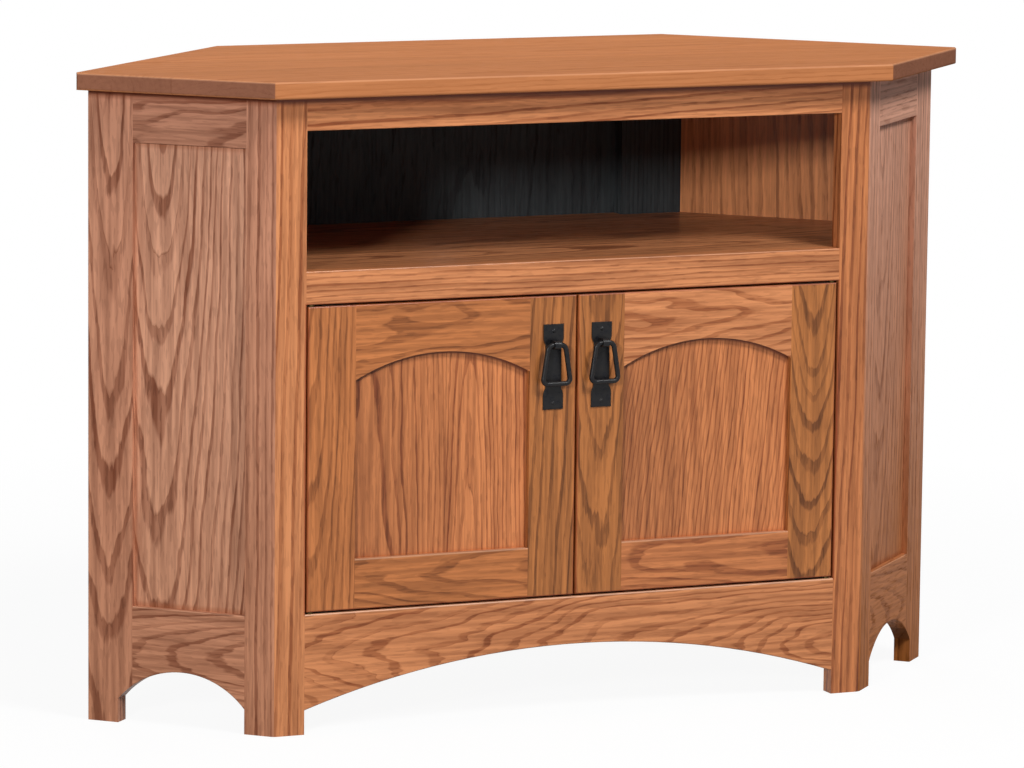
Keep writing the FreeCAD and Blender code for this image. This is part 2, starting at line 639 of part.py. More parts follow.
def make_back():
    height = f"{BODY_HEIGHT} - {DECK_UNDER}"
    screws = []
    for hand, name in HAND_NAMES.items():
        post = [
            (POST_X, BACK_Y),
            (f"{INNER_WALL_SUM} - {BACK_Y}", BACK_Y),
            (f"{INNER_WALL_SUM} - {POST_Y}", POST_Y),
            (POST_X, POST_Y),
        ]
        keep(board(f"{name}_rear_post", lay(post, hand), "plan", "0", BODY_HEIGHT))

        centre_column = f"{hand} * ({POST_X} + post_width / 2)"
        wall_columns = ("(rabbet_width + stock_thickness) / 2",
                        f"{WALL_LENGTH} - panel_thickness * {MITRE} - stock_thickness / {DIAGONAL} / 2")
        wall_turn = FreeCAD.Rotation(Vector(0, 0, 1), hand * 3 * SIDE_TURN) * HEAD_FORWARD
        wall_screws = []
        for z in back_screw_heights():
            screws.append(fastener(short_screw, centre_column, f"{FRONT_Y} + body_depth", z, HEAD_BACKWARD))
            for column in wall_columns:
                x, y = in_frame("wall", hand, column, "0")
                wall_screws.append(fastener(short_screw, x, y, z, wall_turn))
        screws += wall_screws

        wall_board = [
            ("rabbet_width", "0"),
            (WALL_LENGTH, "0"),
            (f"{WALL_LENGTH} - panel_thickness * {MITRE}", "panel_thickness"),
            ("rabbet_width", "panel_thickness"),
        ]
        plain = board(f"{name}_wall_board", lay(wall_board, hand), "plan", "0", height, "wall", hand, DECK_UNDER)
        keep(screwed_board(f"back_{name}_panel", plain, group(f"{name}_wall_screws", wall_screws)))

    right_half = [
        (REAR_CORNER_X, "body_depth"),
        (f"{REAR_CORNER_X} - panel_thickness * {MITRE}", BACK_Y),
    ]
    plain = board("corner_board", both_halves(right_half), "plan", "0", height, height=DECK_UNDER)
    holes = new_sketch(plain, "front", BACK_Y)
    draw_circle(holes, "0", f"base_height + lower_cable_rise - {DECK_UNDER}", "cable_hole_diameter / 2")
    draw_circle(holes, "0", f"{SHELF_TOP} + upper_cable_rise - {DECK_UNDER}", "cable_hole_diameter / 2")
    remove(plain, holes, "front", "panel_thickness")
    back_screws = group("back_screws", screws)
    keep(screwed_board("back_center_panel", plain, back_screws))
    keep(back_screws)

    rails = []
    for place_name, top in (("bottom", DECK_UNDER), ("shelf", SHELF_UNDER), ("top", BODY_HEIGHT)):
        outline = box(f"-{POST_X}", POST_X, f"{top} - rear_rail_height", top)
        rails.append(board(f"rear_{place_name}_rail", outline, "front", POST_Y, "stock_thickness"))
    keep(group("rear_rails", rails))


# Decks and the cleats that carry them.

def make_decks():
    right_half = [
        (f"{INNER_SIDE_GAP} + stock_thickness", "stock_thickness"),
        (f"({INNER_WALL_SUM} + {INNER_SIDE_GAP}) / 2", f"({INNER_WALL_SUM} - {INNER_SIDE_GAP}) / 2"),
        (f"{INNER_WALL_SUM} - {POST_Y}", POST_Y),
        (POST_X, POST_Y),
        (POST_X, BACK_Y),
    ]
    for label, under in (("bottom_deck", DECK_UNDER), ("shelf_deck", SHELF_UNDER)):
        keep(board(label, both_halves(right_half), "plan", "0", "deck_thickness", height=under))

    def side_cleat(label, hand, under):
        outline = box("stock_thickness + cleat_inset", "side_length - stock_thickness - cleat_inset",
                      "stock_thickness", "stock_thickness + cleat_size")
        return board(label, lay(outline, hand), "plan", "0", "cleat_size", "side", hand, f"{under} - cleat_size")

    def cross_cleat(label, under, front):
        outline = box("-cleat_reach", "cleat_reach", front, f"{front} + cleat_size")
        return board(label, outline, "plan", "0", "cleat_size", height=f"{under} - cleat_size")

    def cleat_screws(under, fronts):
        """Two screws for each cleat, driven up from below."""
        found = []
        z = f"{under} - cleat_size"
        for hand in HAND_NAMES:
            half = "(side_length / 2 - stock_thickness - cleat_inset)"
            for step in (-1, 1):
                x, y = in_frame("side", hand, f"side_length / 2 + {step} * {half} * cleat_screw_share",
                                "stock_thickness + cleat_size / 2")
                found.append(fastener(long_screw, x, y, z, HEAD_DOWN))
            for front in fronts:
                found.append(fastener(long_screw, f"{hand} * cleat_reach * cleat_screw_share",
                                      f"{FRONT_Y} + {front} + cleat_size / 2", z, HEAD_DOWN))
        return found

    top_fronts = ("stock_thickness", f"({POST_Y} - cleat_size)")
    deck_cleats = [cross_cleat("front_deck_cleat", DECK_UNDER, "stock_thickness")]
    top_cleats = [cross_cleat(f"top_cleat_{count}", BODY_HEIGHT, front) for count, front in enumerate(top_fronts)]
    for hand, name in HAND_NAMES.items():
        deck_cleats.append(side_cleat(f"{name}_deck_cleat", hand, DECK_UNDER))
        deck_cleats.append(side_cleat(f"{name}_shelf_cleat", hand, SHELF_UNDER))
        top_cleats.append(side_cleat(f"{name}_top_cleat", hand, BODY_HEIGHT))
    keep(group("deck_cleats", deck_cleats))
    keep(group("top_cleats", top_cleats))
    screws = cleat_screws(DECK_UNDER, ("stock_thickness",)) + cleat_screws(SHELF_UNDER, ())
    keep(group("cleat_screws", screws + cleat_screws(BODY_HEIGHT, top_fronts)))


# The adjustable shelf and the four pins that it lies on.

def make_adjustable_shelf():
    play = f"shelf_side_play / {DIAGONAL}"
    pin_height = f"base_height + shelf_hole_start + {SHELF_PIN_ROW} * shelf_hole_pitch"
    front = "(stock_thickness + shelf_setback)"
    rear = f"({POST_Y} - shelf_side_play)"
    gap = f"({INNER_SIDE_GAP} - {play})"
    total = f"({INNER_WALL_SUM} - {play})"
    right_half = [
        (f"{gap} + {front}", front),
        (f"({total} + {gap}) / 2", f"({total} - {gap}) / 2"),
        (f"{total} - {rear}", rear),
    ]
    under = f"{pin_height} + shelf_pin_radius + shelf_lift_play"
    shelf = board("adjustable_shelf", both_halves(right_half), "plan", "0", "deck_thickness", height=under)
    ease(shelf, "edge_round", lambda bounds: bounds.YMax < number(front) + NEAR and bounds.ZLength < NEAR)
    keep(shelf)

    profile = [
        ("0", "-shelf_pin_seat"),
        ("shelf_pin_radius", "-shelf_pin_seat"),
        ("shelf_pin_radius", "0"),
        ("shelf_pin_collar", "0"),
        ("shelf_pin_collar", "shelf_collar_thickness"),
        ("shelf_pin_radius", "shelf_collar_thickness"),
        ("shelf_pin_radius", "shelf_pin_reach"),
        ("0", "shelf_pin_reach"),
    ]
    pin = turned_body("shelf_pin", profile)
    pins = []
    for hand in HAND_NAMES:
        turn = FreeCAD.Rotation(Vector(0, 0, 1), hand * SIDE_TURN) * HEAD_BACKWARD
        for along in ("shelf_hole_inset", "side_length - panel_thickness - shelf_hole_inset"):
            x, y = in_frame("side", hand, along, "stock_thickness")
            pins.append(fastener(pin, x, y, pin_height, turn))
    keep(group("shelf_pins", pins))


# Doors.

def door_board(label, hand, outline, view, start, thickness, arcs=None):
    arcs = lay_arcs(arcs or {}, hand, -1)
    return board(label, lay(outline, hand, DOOR_EDGE, -1), view, start, thickness, height=DOOR_BOTTOM, arcs=arcs)


def along_door(outline, hand):
    return lay(outline, hand, DOOR_EDGE, -1)


def make_door(hand):
    name = HAND_NAMES[hand]
    inner = "door_stile_width"
    outer = f"({DOOR_WIDTH} - door_stile_width)"

    def stile(label, edge, way):
        """A grooved stile: its plain edge is at `edge` and its groove faces `way`."""
        reach = [("0", "0"), (inner, "0"), (inner, GROOVE_FRONT), (f"{inner} - groove_depth", GROOVE_FRONT),
                 (f"{inner} - groove_depth", GROOVE_BACK), (inner, GROOVE_BACK), (inner, "stock_thickness"),
                 ("0", "stock_thickness")]
        points = [(f"{edge} + {way} * ({along})", y) for along, y in reach]
        return door_board(label, hand, points, "plan", "0", DOOR_HEIGHT)

    def outside(body, grooved_x):
        """Round the front edges of a stile, except the one along the panel."""
        ease(body, "edge_round", lambda bounds: bounds.YMax < NEAR and not
             (bounds.ZLength > NEAR and abs(bounds.XMin - grooved_x) < NEAR))

    hinge_stile = stile(f"{name}_door_hinge_stile", "0", 1)
    outside(hinge_stile, number(f"{hand} * ({DOOR_EDGE} - {inner})"))
    carve_leaf_seat(hinge_stile, hand, "0")
    carve_leaf_seat(hinge_stile, hand, f"{DOOR_HEIGHT} - leaf_thickness")
    keep(hinge_stile)

    lock_stile = stile(f"{name}_door_lock_stile", DOOR_WIDTH, -1)
    outside(lock_stile, number(f"{hand} * ({DOOR_EDGE} - {outer})"))
    keep(lock_stile)

    far = (f"{inner} - groove_depth", f"{outer} + groove_depth")
    outline = box(inner, outer, "0", "door_rail_height")
    bottom_rail = door_board(f"{name}_door_bottom_rail", hand, outline, "front", "0", "stock_thickness")
    ease(bottom_rail, "edge_round", lambda bounds: on_front(bounds) and bounds.ZMax < NEAR)
    extend(bottom_rail, along_door(box(*far, "0", "door_rail_height"), hand), "front", GROOVE_FRONT, "panel_thickness")
    slot = box(*far, "door_rail_height - groove_depth", "door_rail_height")
    carve(bottom_rail, along_door(slot, hand), "front", GROOVE_FRONT, "panel_thickness")
    keep(bottom_rail)

    # The arch's circle: its crown is one rail's height below the door's top edge.
    chord = f"({outer} - {inner})"
    radius = arc_radius(chord, "door_arch_rise")
    crown = f"({DOOR_HEIGHT} - door_rail_height)"
    spring = f"({crown} - door_arch_rise)"
    centre = f"({crown} - {radius})"

    def arch_height(beyond, wider):
        """Height of the arc that is `wider` than the arch, `beyond` its ends."""
        return f"({centre} + sqrt(({radius} + {wider}) ^ 2 - ({chord} / 2 + {beyond}) ^ 2))"

    outline = box(inner, outer, spring, DOOR_HEIGHT)
    top_rail = door_board(f"{name}_door_top_rail", hand, outline, "front", "0", "stock_thickness", {0: (radius, -1)})
    ease(top_rail, "edge_round", lambda bounds: on_front(bounds) and bounds.ZMin > number(DOOR_HEIGHT) - NEAR)
    for near, beyond in ((far[0], inner), (outer, far[1])):
        tongue = along_door(box(near, beyond, spring, DOOR_HEIGHT), hand)
        extend(top_rail, tongue, "front", GROOVE_FRONT, "panel_thickness")
    groove_end = arch_height("groove_depth", "groove_depth")
    slot = box(*far, f"{spring} - groove_depth", groove_end)
    arcs = lay_arcs({2: (f"{radius} + groove_depth", 1)}, hand, -1)
    carve(top_rail, along_door(slot, hand), "front", GROOVE_FRONT, "panel_thickness", arcs)
    keep(top_rail)

    edge = arch_height(PANEL_GRIP, PANEL_GRIP)
    outline = box(f"{inner} - {PANEL_GRIP}", f"{outer} + {PANEL_GRIP}", f"door_rail_height - {PANEL_GRIP}", edge)
    keep(door_board(f"{name}_door_panel", hand, outline, "front", GROOVE_FRONT, "panel_thickness",
                    {2: (f"{radius} + {PANEL_GRIP}", 1)}))

    make_door_hardware(hand)


# Knife hinges, strikes and catches.

LEAF_SCREW_STEPS = (0, 1)


def leaf_screws(hand, heights):
    """Screws of hinge leaves: heights pairs the face of each leaf with the way its heads look."""
    found = []
    for z, turn in heights:
        for step in LEAF_SCREW_STEPS:
            along = f"pivot_inset + leaf_screw_start + {step} * leaf_screw_pitch"
            x = f"{hand} * ({DOOR_EDGE} - ({along}))"
            y = f"{FRONT_Y} + pivot_setback + leaf_width / 2"
            found.append(fastener(leaf_screw, x, y, z, turn))
    return found


def hinge_leaf(label, hand, start):
    points, arcs = hinge_outline()
    outline = lay(points, hand, DOOR_EDGE, -1)
    return board(label, outline, "plan", "0", "leaf_thickness", height=start, arcs=lay_arcs(arcs, hand, -1))


def pin_x(hand):
    return f"{hand} * ({DOOR_EDGE} - pivot_inset)"


def make_frame_hinges():
    """Leaves let into the rails above and below the doors, with a washer in each gap."""
    top = f"{SHELF_TOP} - middle_rail_height"
    leaves, washers, screws = [], [], []
    for hand, name in HAND_NAMES.items():
        for end, start in (("upper", top), ("lower", "base_height - leaf_thickness")):
            leaf = hinge_leaf(f"{name}_{end}_frame_leaf", hand, start)
            bore = new_sketch(leaf, "plan")
            draw_circle(bore, pin_x(hand), "pivot_setback", "hinge_pin_radius + pin_clearance")
            remove(leaf, bore, "plan", "leaf_thickness")
            leaves.append(leaf)
        screws += leaf_screws(hand, ((top, HEAD_DOWN), ("base_height", HEAD_UP)))
        for end, start in (("upper", f"{top} - door_gap + washer_clearance"), ("lower", "base_height")):
            washer = new_body(f"{name}_{end}_washer", height=start)
            ring = new_sketch(washer, "plan")
            draw_circle(ring, pin_x(hand), "pivot_setback", "washer_radius")
            draw_circle(ring, pin_x(hand), "pivot_setback", "hinge_pin_radius + pin_clearance")
            add(washer, ring, "plan", "door_gap - washer_clearance")
            washers.append(washer)
    screws = group("hinge_frame_screws", screws)
    keep(screwed_board("hinge_frame_leaves", group("frame_leaf_blanks", leaves), screws))
    keep(screws)
    keep(group("hinge_washers", washers))


def make_catches():
    under = f"({SHELF_TOP} - middle_rail_height)"
    outline = box("-catch_block_reach", "catch_block_reach", "stock_thickness", "stock_thickness + catch_block_depth")
    keep(board("catch_block", outline, "plan", "0", f"{SHELF_UNDER} - {under}", height=under))

    front = "(stock_thickness + strike_thickness + catch_gap)"
    magnet = f"{front} + catch_recess"
    back = f"{front} + catch_depth"
    upper_lip = "catch_height - catch_lip"
    profile = [(front, "0"), (back, "0"), (back, "catch_height"), (front, "catch_height"), (front, upper_lip),
               (magnet, upper_lip), (magnet, "catch_lip"), (front, "catch_lip")]
    catches, screws = [], []
    for hand, name in HAND_NAMES.items():
        start = f"{hand} * catch_offset - catch_width / 2"
        catches.append(board(f"{name}_catch", profile, "end", start, "catch_width", height=f"{under} - catch_height"))
        for step in (-1, 1):
            x = f"{hand} * catch_offset + {step} * catch_width * cleat_screw_share / 2"
            screws.append(fastener(short_screw, x, f"{FRONT_Y} + ({magnet} + {back}) / 2",
                                   f"{under} - catch_height", HEAD_DOWN))
    screws = group("catch_screws", screws)
    keep(screwed_board("magnetic_catches", group("catch_blanks", catches), screws))
    keep(screws)


def make_door_hardware(hand):
    name = HAND_NAMES[hand]
    top = f"({DOOR_BOTTOM} + {DOOR_HEIGHT})"
    screws = leaf_screws(hand, ((top, HEAD_UP), (DOOR_BOTTOM, HEAD_DOWN)))
    strike_top = f"{top} - strike_drop"
    strike_x = f"{hand} * catch_offset"
    screws.append(fastener(leaf_screw, strike_x, f"{FRONT_Y} + stock_thickness + strike_thickness",
                           f"{strike_top} - strike_height / 2", HEAD_BACKWARD))
    screws = group(f"{name}_door_screws", screws)

    leaves = []
    reach = "leaf_thickness + door_gap + leaf_thickness"
    upper = hinge_leaf(f"{name}_upper_door_leaf", hand, f"{top} - leaf_thickness")
    lower = hinge_leaf(f"{name}_lower_door_leaf", hand, DOOR_BOTTOM)
    for leaf, start in ((upper, "0"), (lower, "-(door_gap + leaf_thickness)")):
        pin = new_sketch(leaf, "plan", start)
        draw_circle(pin, pin_x(hand), "pivot_setback", "hinge_pin_radius")
        add(leaf, pin, "plan", reach)
        leaves.append(leaf)
    keep(screwed_board(f"{name}_door_hinge_leaves", group(f"{name}_leaf_blanks", leaves), screws))

    outline = box(f"{strike_x} - strike_width / 2", f"{strike_x} + strike_width / 2", "0", "strike_height")
    plain = board(f"{name}_strike_blank", outline, "front", "stock_thickness", "strike_thickness",
                  height=f"{strike_top} - strike_height")
    keep(screwed_board(f"{name}_door_strike", plain, screws))
    keep(screws)


# Pulls: a back plate held by two round-headed nails, a knuckle and the bail that swings in it.

PULL_ALONG = f"({DOOR_WIDTH} - door_stile_width / 2)"
PULL_Z = f"({DOOR_BOTTOM} + pull_height)"
PIVOT_Y = "-(plate_thickness + bail_standoff)"


def pull_x(hand):
    return f"{hand} * ({DOOR_EDGE} - {PULL_ALONG})"


def pull_body(label, hand, y, z):
    body = doc.addObject("PartDesign::Body", label)
    body.Label = label
    place(body, pull_x(hand), f"{FRONT_Y} + {y}", z)
    return body


def make_pull(hand):
    name = HAND_NAMES[hand]
    half = "plate_height / 2"
    ear, waist = "plate_ear_width / 2", "plate_waist_width / 2"
    ear_end = f"{half} - plate_ear_height"
    waist_end = f"{half} - plate_ear_height - plate_shoulder_height"
    right_half = [(ear, f"-({half})"), (ear, f"-({ear_end})"), (waist, f"-({waist_end})"),
                  (waist, waist_end), (ear, ear_end), (ear, half)]
    shoulder = ("plate_shoulder_radius", 1)
    plate = pull_body(f"{name}_pull_plate", hand, "-plate_thickness", PULL_Z)
    face = new_sketch(plate, "front")
    draw(face, both_halves(right_half), {1: shoulder, 3: shoulder, 7: shoulder, 9: shoulder})
    add(plate, face, "front", "plate_thickness")
    bevel(plate, "plate_bevel", lambda bounds: bounds.YMax < NEAR)
    keep(plate)

    pivot_z = f"{PULL_Z} + bail_rise"
    knuckle = pull_body(f"{name}_pull_knuckle", hand, PIVOT_Y, pivot_z)
    side = new_sketch(knuckle, "end", "-knuckle_width / 2")
    radius = "knuckle_radius"
    outline = [("bail_standoff", f"-{radius}"), ("bail_standoff", radius), ("0", radius), (f"-{radius}", "0"),
               ("0", f"-{radius}")]
    draw(side, outline, {2: (radius, 1), 3: (radius, 1)})
    add(knuckle, side, "end", "knuckle_width")
    bore = new_sketch(knuckle, "end", "-knuckle_width / 2")
    draw_circle(bore, "0", "0", "bail_wire_radius + pin_clearance")
    remove(knuckle, bore, "end", "knuckle_width")
    keep(knuckle)

    nails = []
    for step in (-1, 1):
        z = f"{PULL_Z} + {step} * ({half} - nail_inset)"
        nails.append(fastener(pull_nail, pull_x(hand), f"{FRONT_Y} - plate_thickness", z, HEAD_FORWARD))
    keep(group(f"{name}_pull_nails", nails))

    keep(make_bail(f"{name}_pull_bail", hand, pivot_z))


def make_bail(label, hand, pivot_z):
    """A closed loop of round wire: a short top bar in the knuckle, two legs that spread, and a
    wider bottom bar. Its bends are tangent to the straight runs."""
    lean = "((bail_bottom_width - bail_top_width) / 2)"
    leg = f"sqrt({lean} ^ 2 + bail_drop ^ 2)"
    across, down = f"({lean} / {leg})", f"(bail_drop / {leg})"
    top_run = f"(bail_top_bend * sqrt((1 - {across}) / (1 + {across})))"
    bottom_run = f"(bail_bottom_bend * sqrt((1 + {across}) / (1 - {across})))"
    top, bottom = "bail_top_width / 2", "bail_bottom_width / 2"
    right_half = [
        (f"{top} - {top_run}", "0"),
        (f"{top} + {top_run} * {across}", f"-({top_run} * {down})"),
        (f"{bottom} - {bottom_run} * {across}", f"-(bail_drop - {bottom_run} * {down})"),
        (f"{bottom} - {bottom_run}", "-bail_drop"),
    ]
    bail = pull_body(label, hand, PIVOT_Y, pivot_z)
    path = new_sketch(bail, "front")
    bends = {1: ("bail_top_bend", -1), 3: ("bail_bottom_bend", -1),
             5: ("bail_bottom_bend", -1), 7: ("bail_top_bend", -1)}
    draw(path, [("0", "0")] + both_halves(right_half), bends)
    wire = new_sketch(bail, "end")
    draw_circle(wire, "0", "0", "bail_wire_radius")
    pipe = bail.newObject("PartDesign::AdditivePipe", label + "_pipe")
    pipe.Profile = wire
    pipe.Spine = (path, [f"Edge{index + 1}" for index in range(len(path.Geometry))])
    doc.recompute()
    return bail


make_top()
make_face_frame()
for side_hand in HAND_NAMES:
    make_side(side_hand)
make_back()
make_decks()
make_adjustable_shelf()
make_frame_hinges()
make_catches()
for door_hand in HAND_NAMES:
    make_door(door_hand)
    make_pull(door_hand)
doc.recompute()

# Nothing is written unless every object is sound.
for item in doc.Objects:
    if "Invalid" in item.State or "Error" in item.State:
        raise RuntimeError(f"{item.Label} did not recompute: {item.State}")
for label, item in nodes.items():
    if item.Shape.isNull() or not item.Shape.isValid() or not item.Shape.Solids:
        raise RuntimeError(f"{label} has no sound shape")

os.makedirs("parts", exist_ok=True)
for label, item in nodes.items():
    item.Shape.exportStep(os.path.join("parts", label + ".step"))
bounds = Part.makeCompound([item.Shape for item in nodes.values()]).BoundBox
print(len(nodes), "nodes", bounds)
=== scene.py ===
"""Looks of the corner cabinet: stained oak boards, black iron pulls and the studio around them."""

from __future__ import annotations

import logging
import math
from dataclasses import dataclass, replace
from enum import Enum

import bmesh
import bpy
from mathutils import Matrix, Vector

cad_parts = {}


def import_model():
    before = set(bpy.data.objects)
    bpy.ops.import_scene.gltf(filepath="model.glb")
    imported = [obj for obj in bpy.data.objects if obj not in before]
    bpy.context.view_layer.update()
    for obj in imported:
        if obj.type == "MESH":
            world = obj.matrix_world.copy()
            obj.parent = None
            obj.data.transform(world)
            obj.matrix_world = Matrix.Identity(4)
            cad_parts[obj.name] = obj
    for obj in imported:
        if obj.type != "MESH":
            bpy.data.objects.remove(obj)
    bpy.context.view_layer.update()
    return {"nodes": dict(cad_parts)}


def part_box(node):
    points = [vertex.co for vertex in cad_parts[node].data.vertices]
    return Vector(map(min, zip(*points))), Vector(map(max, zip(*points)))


log = logging.getLogger("corner_cabinet")

Triple = tuple[float, float, float]
Shade = tuple[int, int, int]
Socket = bpy.types.NodeSocket

DIAGONAL = math.sqrt(0.5)
WHITE = (1.0, 1.0, 1.0, 1.0)

# The Mix node's sockets for colours.
MIX_SHARE, MIX_FIRST, MIX_SECOND, MIX_RESULT = 0, 6, 7, 2

# Cycles of each pattern in a metre: along the grain, across it and out of the face.
SLOW_SWAY = (2.4, 8.0, 8.0)
QUICK_SWAY = (11.0, 40.0, 40.0)
FIBRES = (30.0, 420.0, 420.0)
PATCHES = (7.0, 30.0, 30.0)
STREAKS = (6.0, 240.0, 240.0)
DASHES = (44.0, 480.0, 480.0)
TONES = (1.3, 16.0, 16.0)
GRIT = (2600.0, 2600.0, 2600.0)
BRUSH_MARKS = (180.0, 3200.0, 3200.0)

# How far the two sways push the rings, as shares of the wander, and how the rings' width swings.
SLOW_SHARE, QUICK_SHARE = 2.0, 0.6
SEASONS, SEASON_SWING = (45.0, 1.0, 1.0), 1.5
# A year's ring: places in the year, and how dark each is.
YEAR = ((0.0, 1.0), (0.22, 0.9), (0.3, 0.2), (0.94, 0.0), (1.0, 1.0))

# Ranges that noise or a direction is carried from, and the range that it gets where that isn't 0 to 1.
RING_CONTRAST = (0.0, 1.0, 0.4, 1.0)
PATCH_RANGE = (0.56, 0.72)
SMUDGE_RANGE = (0.35, 0.6, 0.25, 0.75)
STREAK_RANGE = (0.38, 0.62)
DASH_RANGE = (0.54, 0.6)
BLOTCH_RANGE = (0.35, 0.65)
END_RANGE = (0.5, 0.7)
RISING_RANGE, LEVEL_RANGE = (0.2, 0.4), (0.85, 0.98, 1.0, 0.0)
FACING_RANGE = (0.3, 0.6, 0.35, 1.0)

# How far one seed's stretch of a pattern lies from the next, and one stave's from the next.
SEED_STEP = (3.71, 1.93, 2.37)
STAVE_STEP, STAVE_SPREAD, STAVE_SHIFT = 9.0, 7.0, 0.37
GLUE_LINE, GLUE_SHARE = 0.0006, 0.35

END_SHARE = 0.8
STREAK_LIGHT = 0.53
PORE_ROUGHNESS = 0.22
PORES_IN_RINGS, PORES_BETWEEN = 0.7, 0.35
RING_DEPTH = 0.35
OAK_RELIEF, OAK_DEPTH = 0.35, 0.00025
COAT_ROUGHNESS = 0.22
BLOTCH_ROUGHNESS, GRIT_ROUGHNESS, BLOTCH_DEPTH = 0.12, 0.06, 0.5
METAL_DEPTH = 0.0002

# Sizes, in metres, that the painted light follows: the middle height of the sides' height shading, and the painted
# shade and highlight lines along the joints.
MIDDLE_HEIGHT = 0.36
DOOR_GAP, GAP_LINE = 0.0025, 0.0022
DOOR_GRIP, SIDE_GRIP = 0.007, 0.01
EDGE_LINE, LEDGE_LINE = 0.004, 0.002


def paint(colour: Shade) -> tuple[float, ...]:
    """Turn a colour as a screen shows it into the linear one that shaders take.

    Args:
        colour: red, green and blue, 0 to 255.

    Returns:
        The linear colour, opaque.
    """

    def linear(channel: int) -> float:
        """Undo the screen's curve for one channel."""
        share = channel / 255
        return share / 12.92 if share <= 0.04045 else ((share + 0.055) / 1.055) ** 2.4

    return *map(linear, colour), 1.0


class Lie(Enum):
    """How a board lies: the way its grain runs, and the way its show face looks."""

    TOP = ((1.0, 0.0, 0.0), (0.0, 0.0, 1.0))
    FRONT_RAIL = ((1.0, 0.0, 0.0), (0.0, -1.0, 0.0))
    FRONT_UPRIGHT = ((0.0, 0.0, 1.0), (0.0, -1.0, 0.0))
    LEFT_RAIL = ((-DIAGONAL, DIAGONAL, 0.0), (-DIAGONAL, -DIAGONAL, 0.0))
    LEFT_UPRIGHT = ((0.0, 0.0, 1.0), (-DIAGONAL, -DIAGONAL, 0.0))
    RIGHT_RAIL = ((DIAGONAL, DIAGONAL, 0.0), (DIAGONAL, -DIAGONAL, 0.0))
    RIGHT_UPRIGHT = ((0.0, 0.0, 1.0), (DIAGONAL, -DIAGONAL, 0.0))
    BACK_UPRIGHT = ((0.0, 0.0, 1.0), (0.0, 1.0, 0.0))
    LEFT_WALL = ((0.0, 0.0, 1.0), (-DIAGONAL, DIAGONAL, 0.0))
    RIGHT_WALL = ((0.0, 0.0, 1.0), (DIAGONAL, DIAGONAL, 0.0))

    def turn(self) -> Matrix:
        """Rows that carry a point into the board: along the grain, across it, out of the face."""
        run, face = Vector(self.value[0]), Vector(self.value[1])
        return Matrix((run, face.cross(run), face))


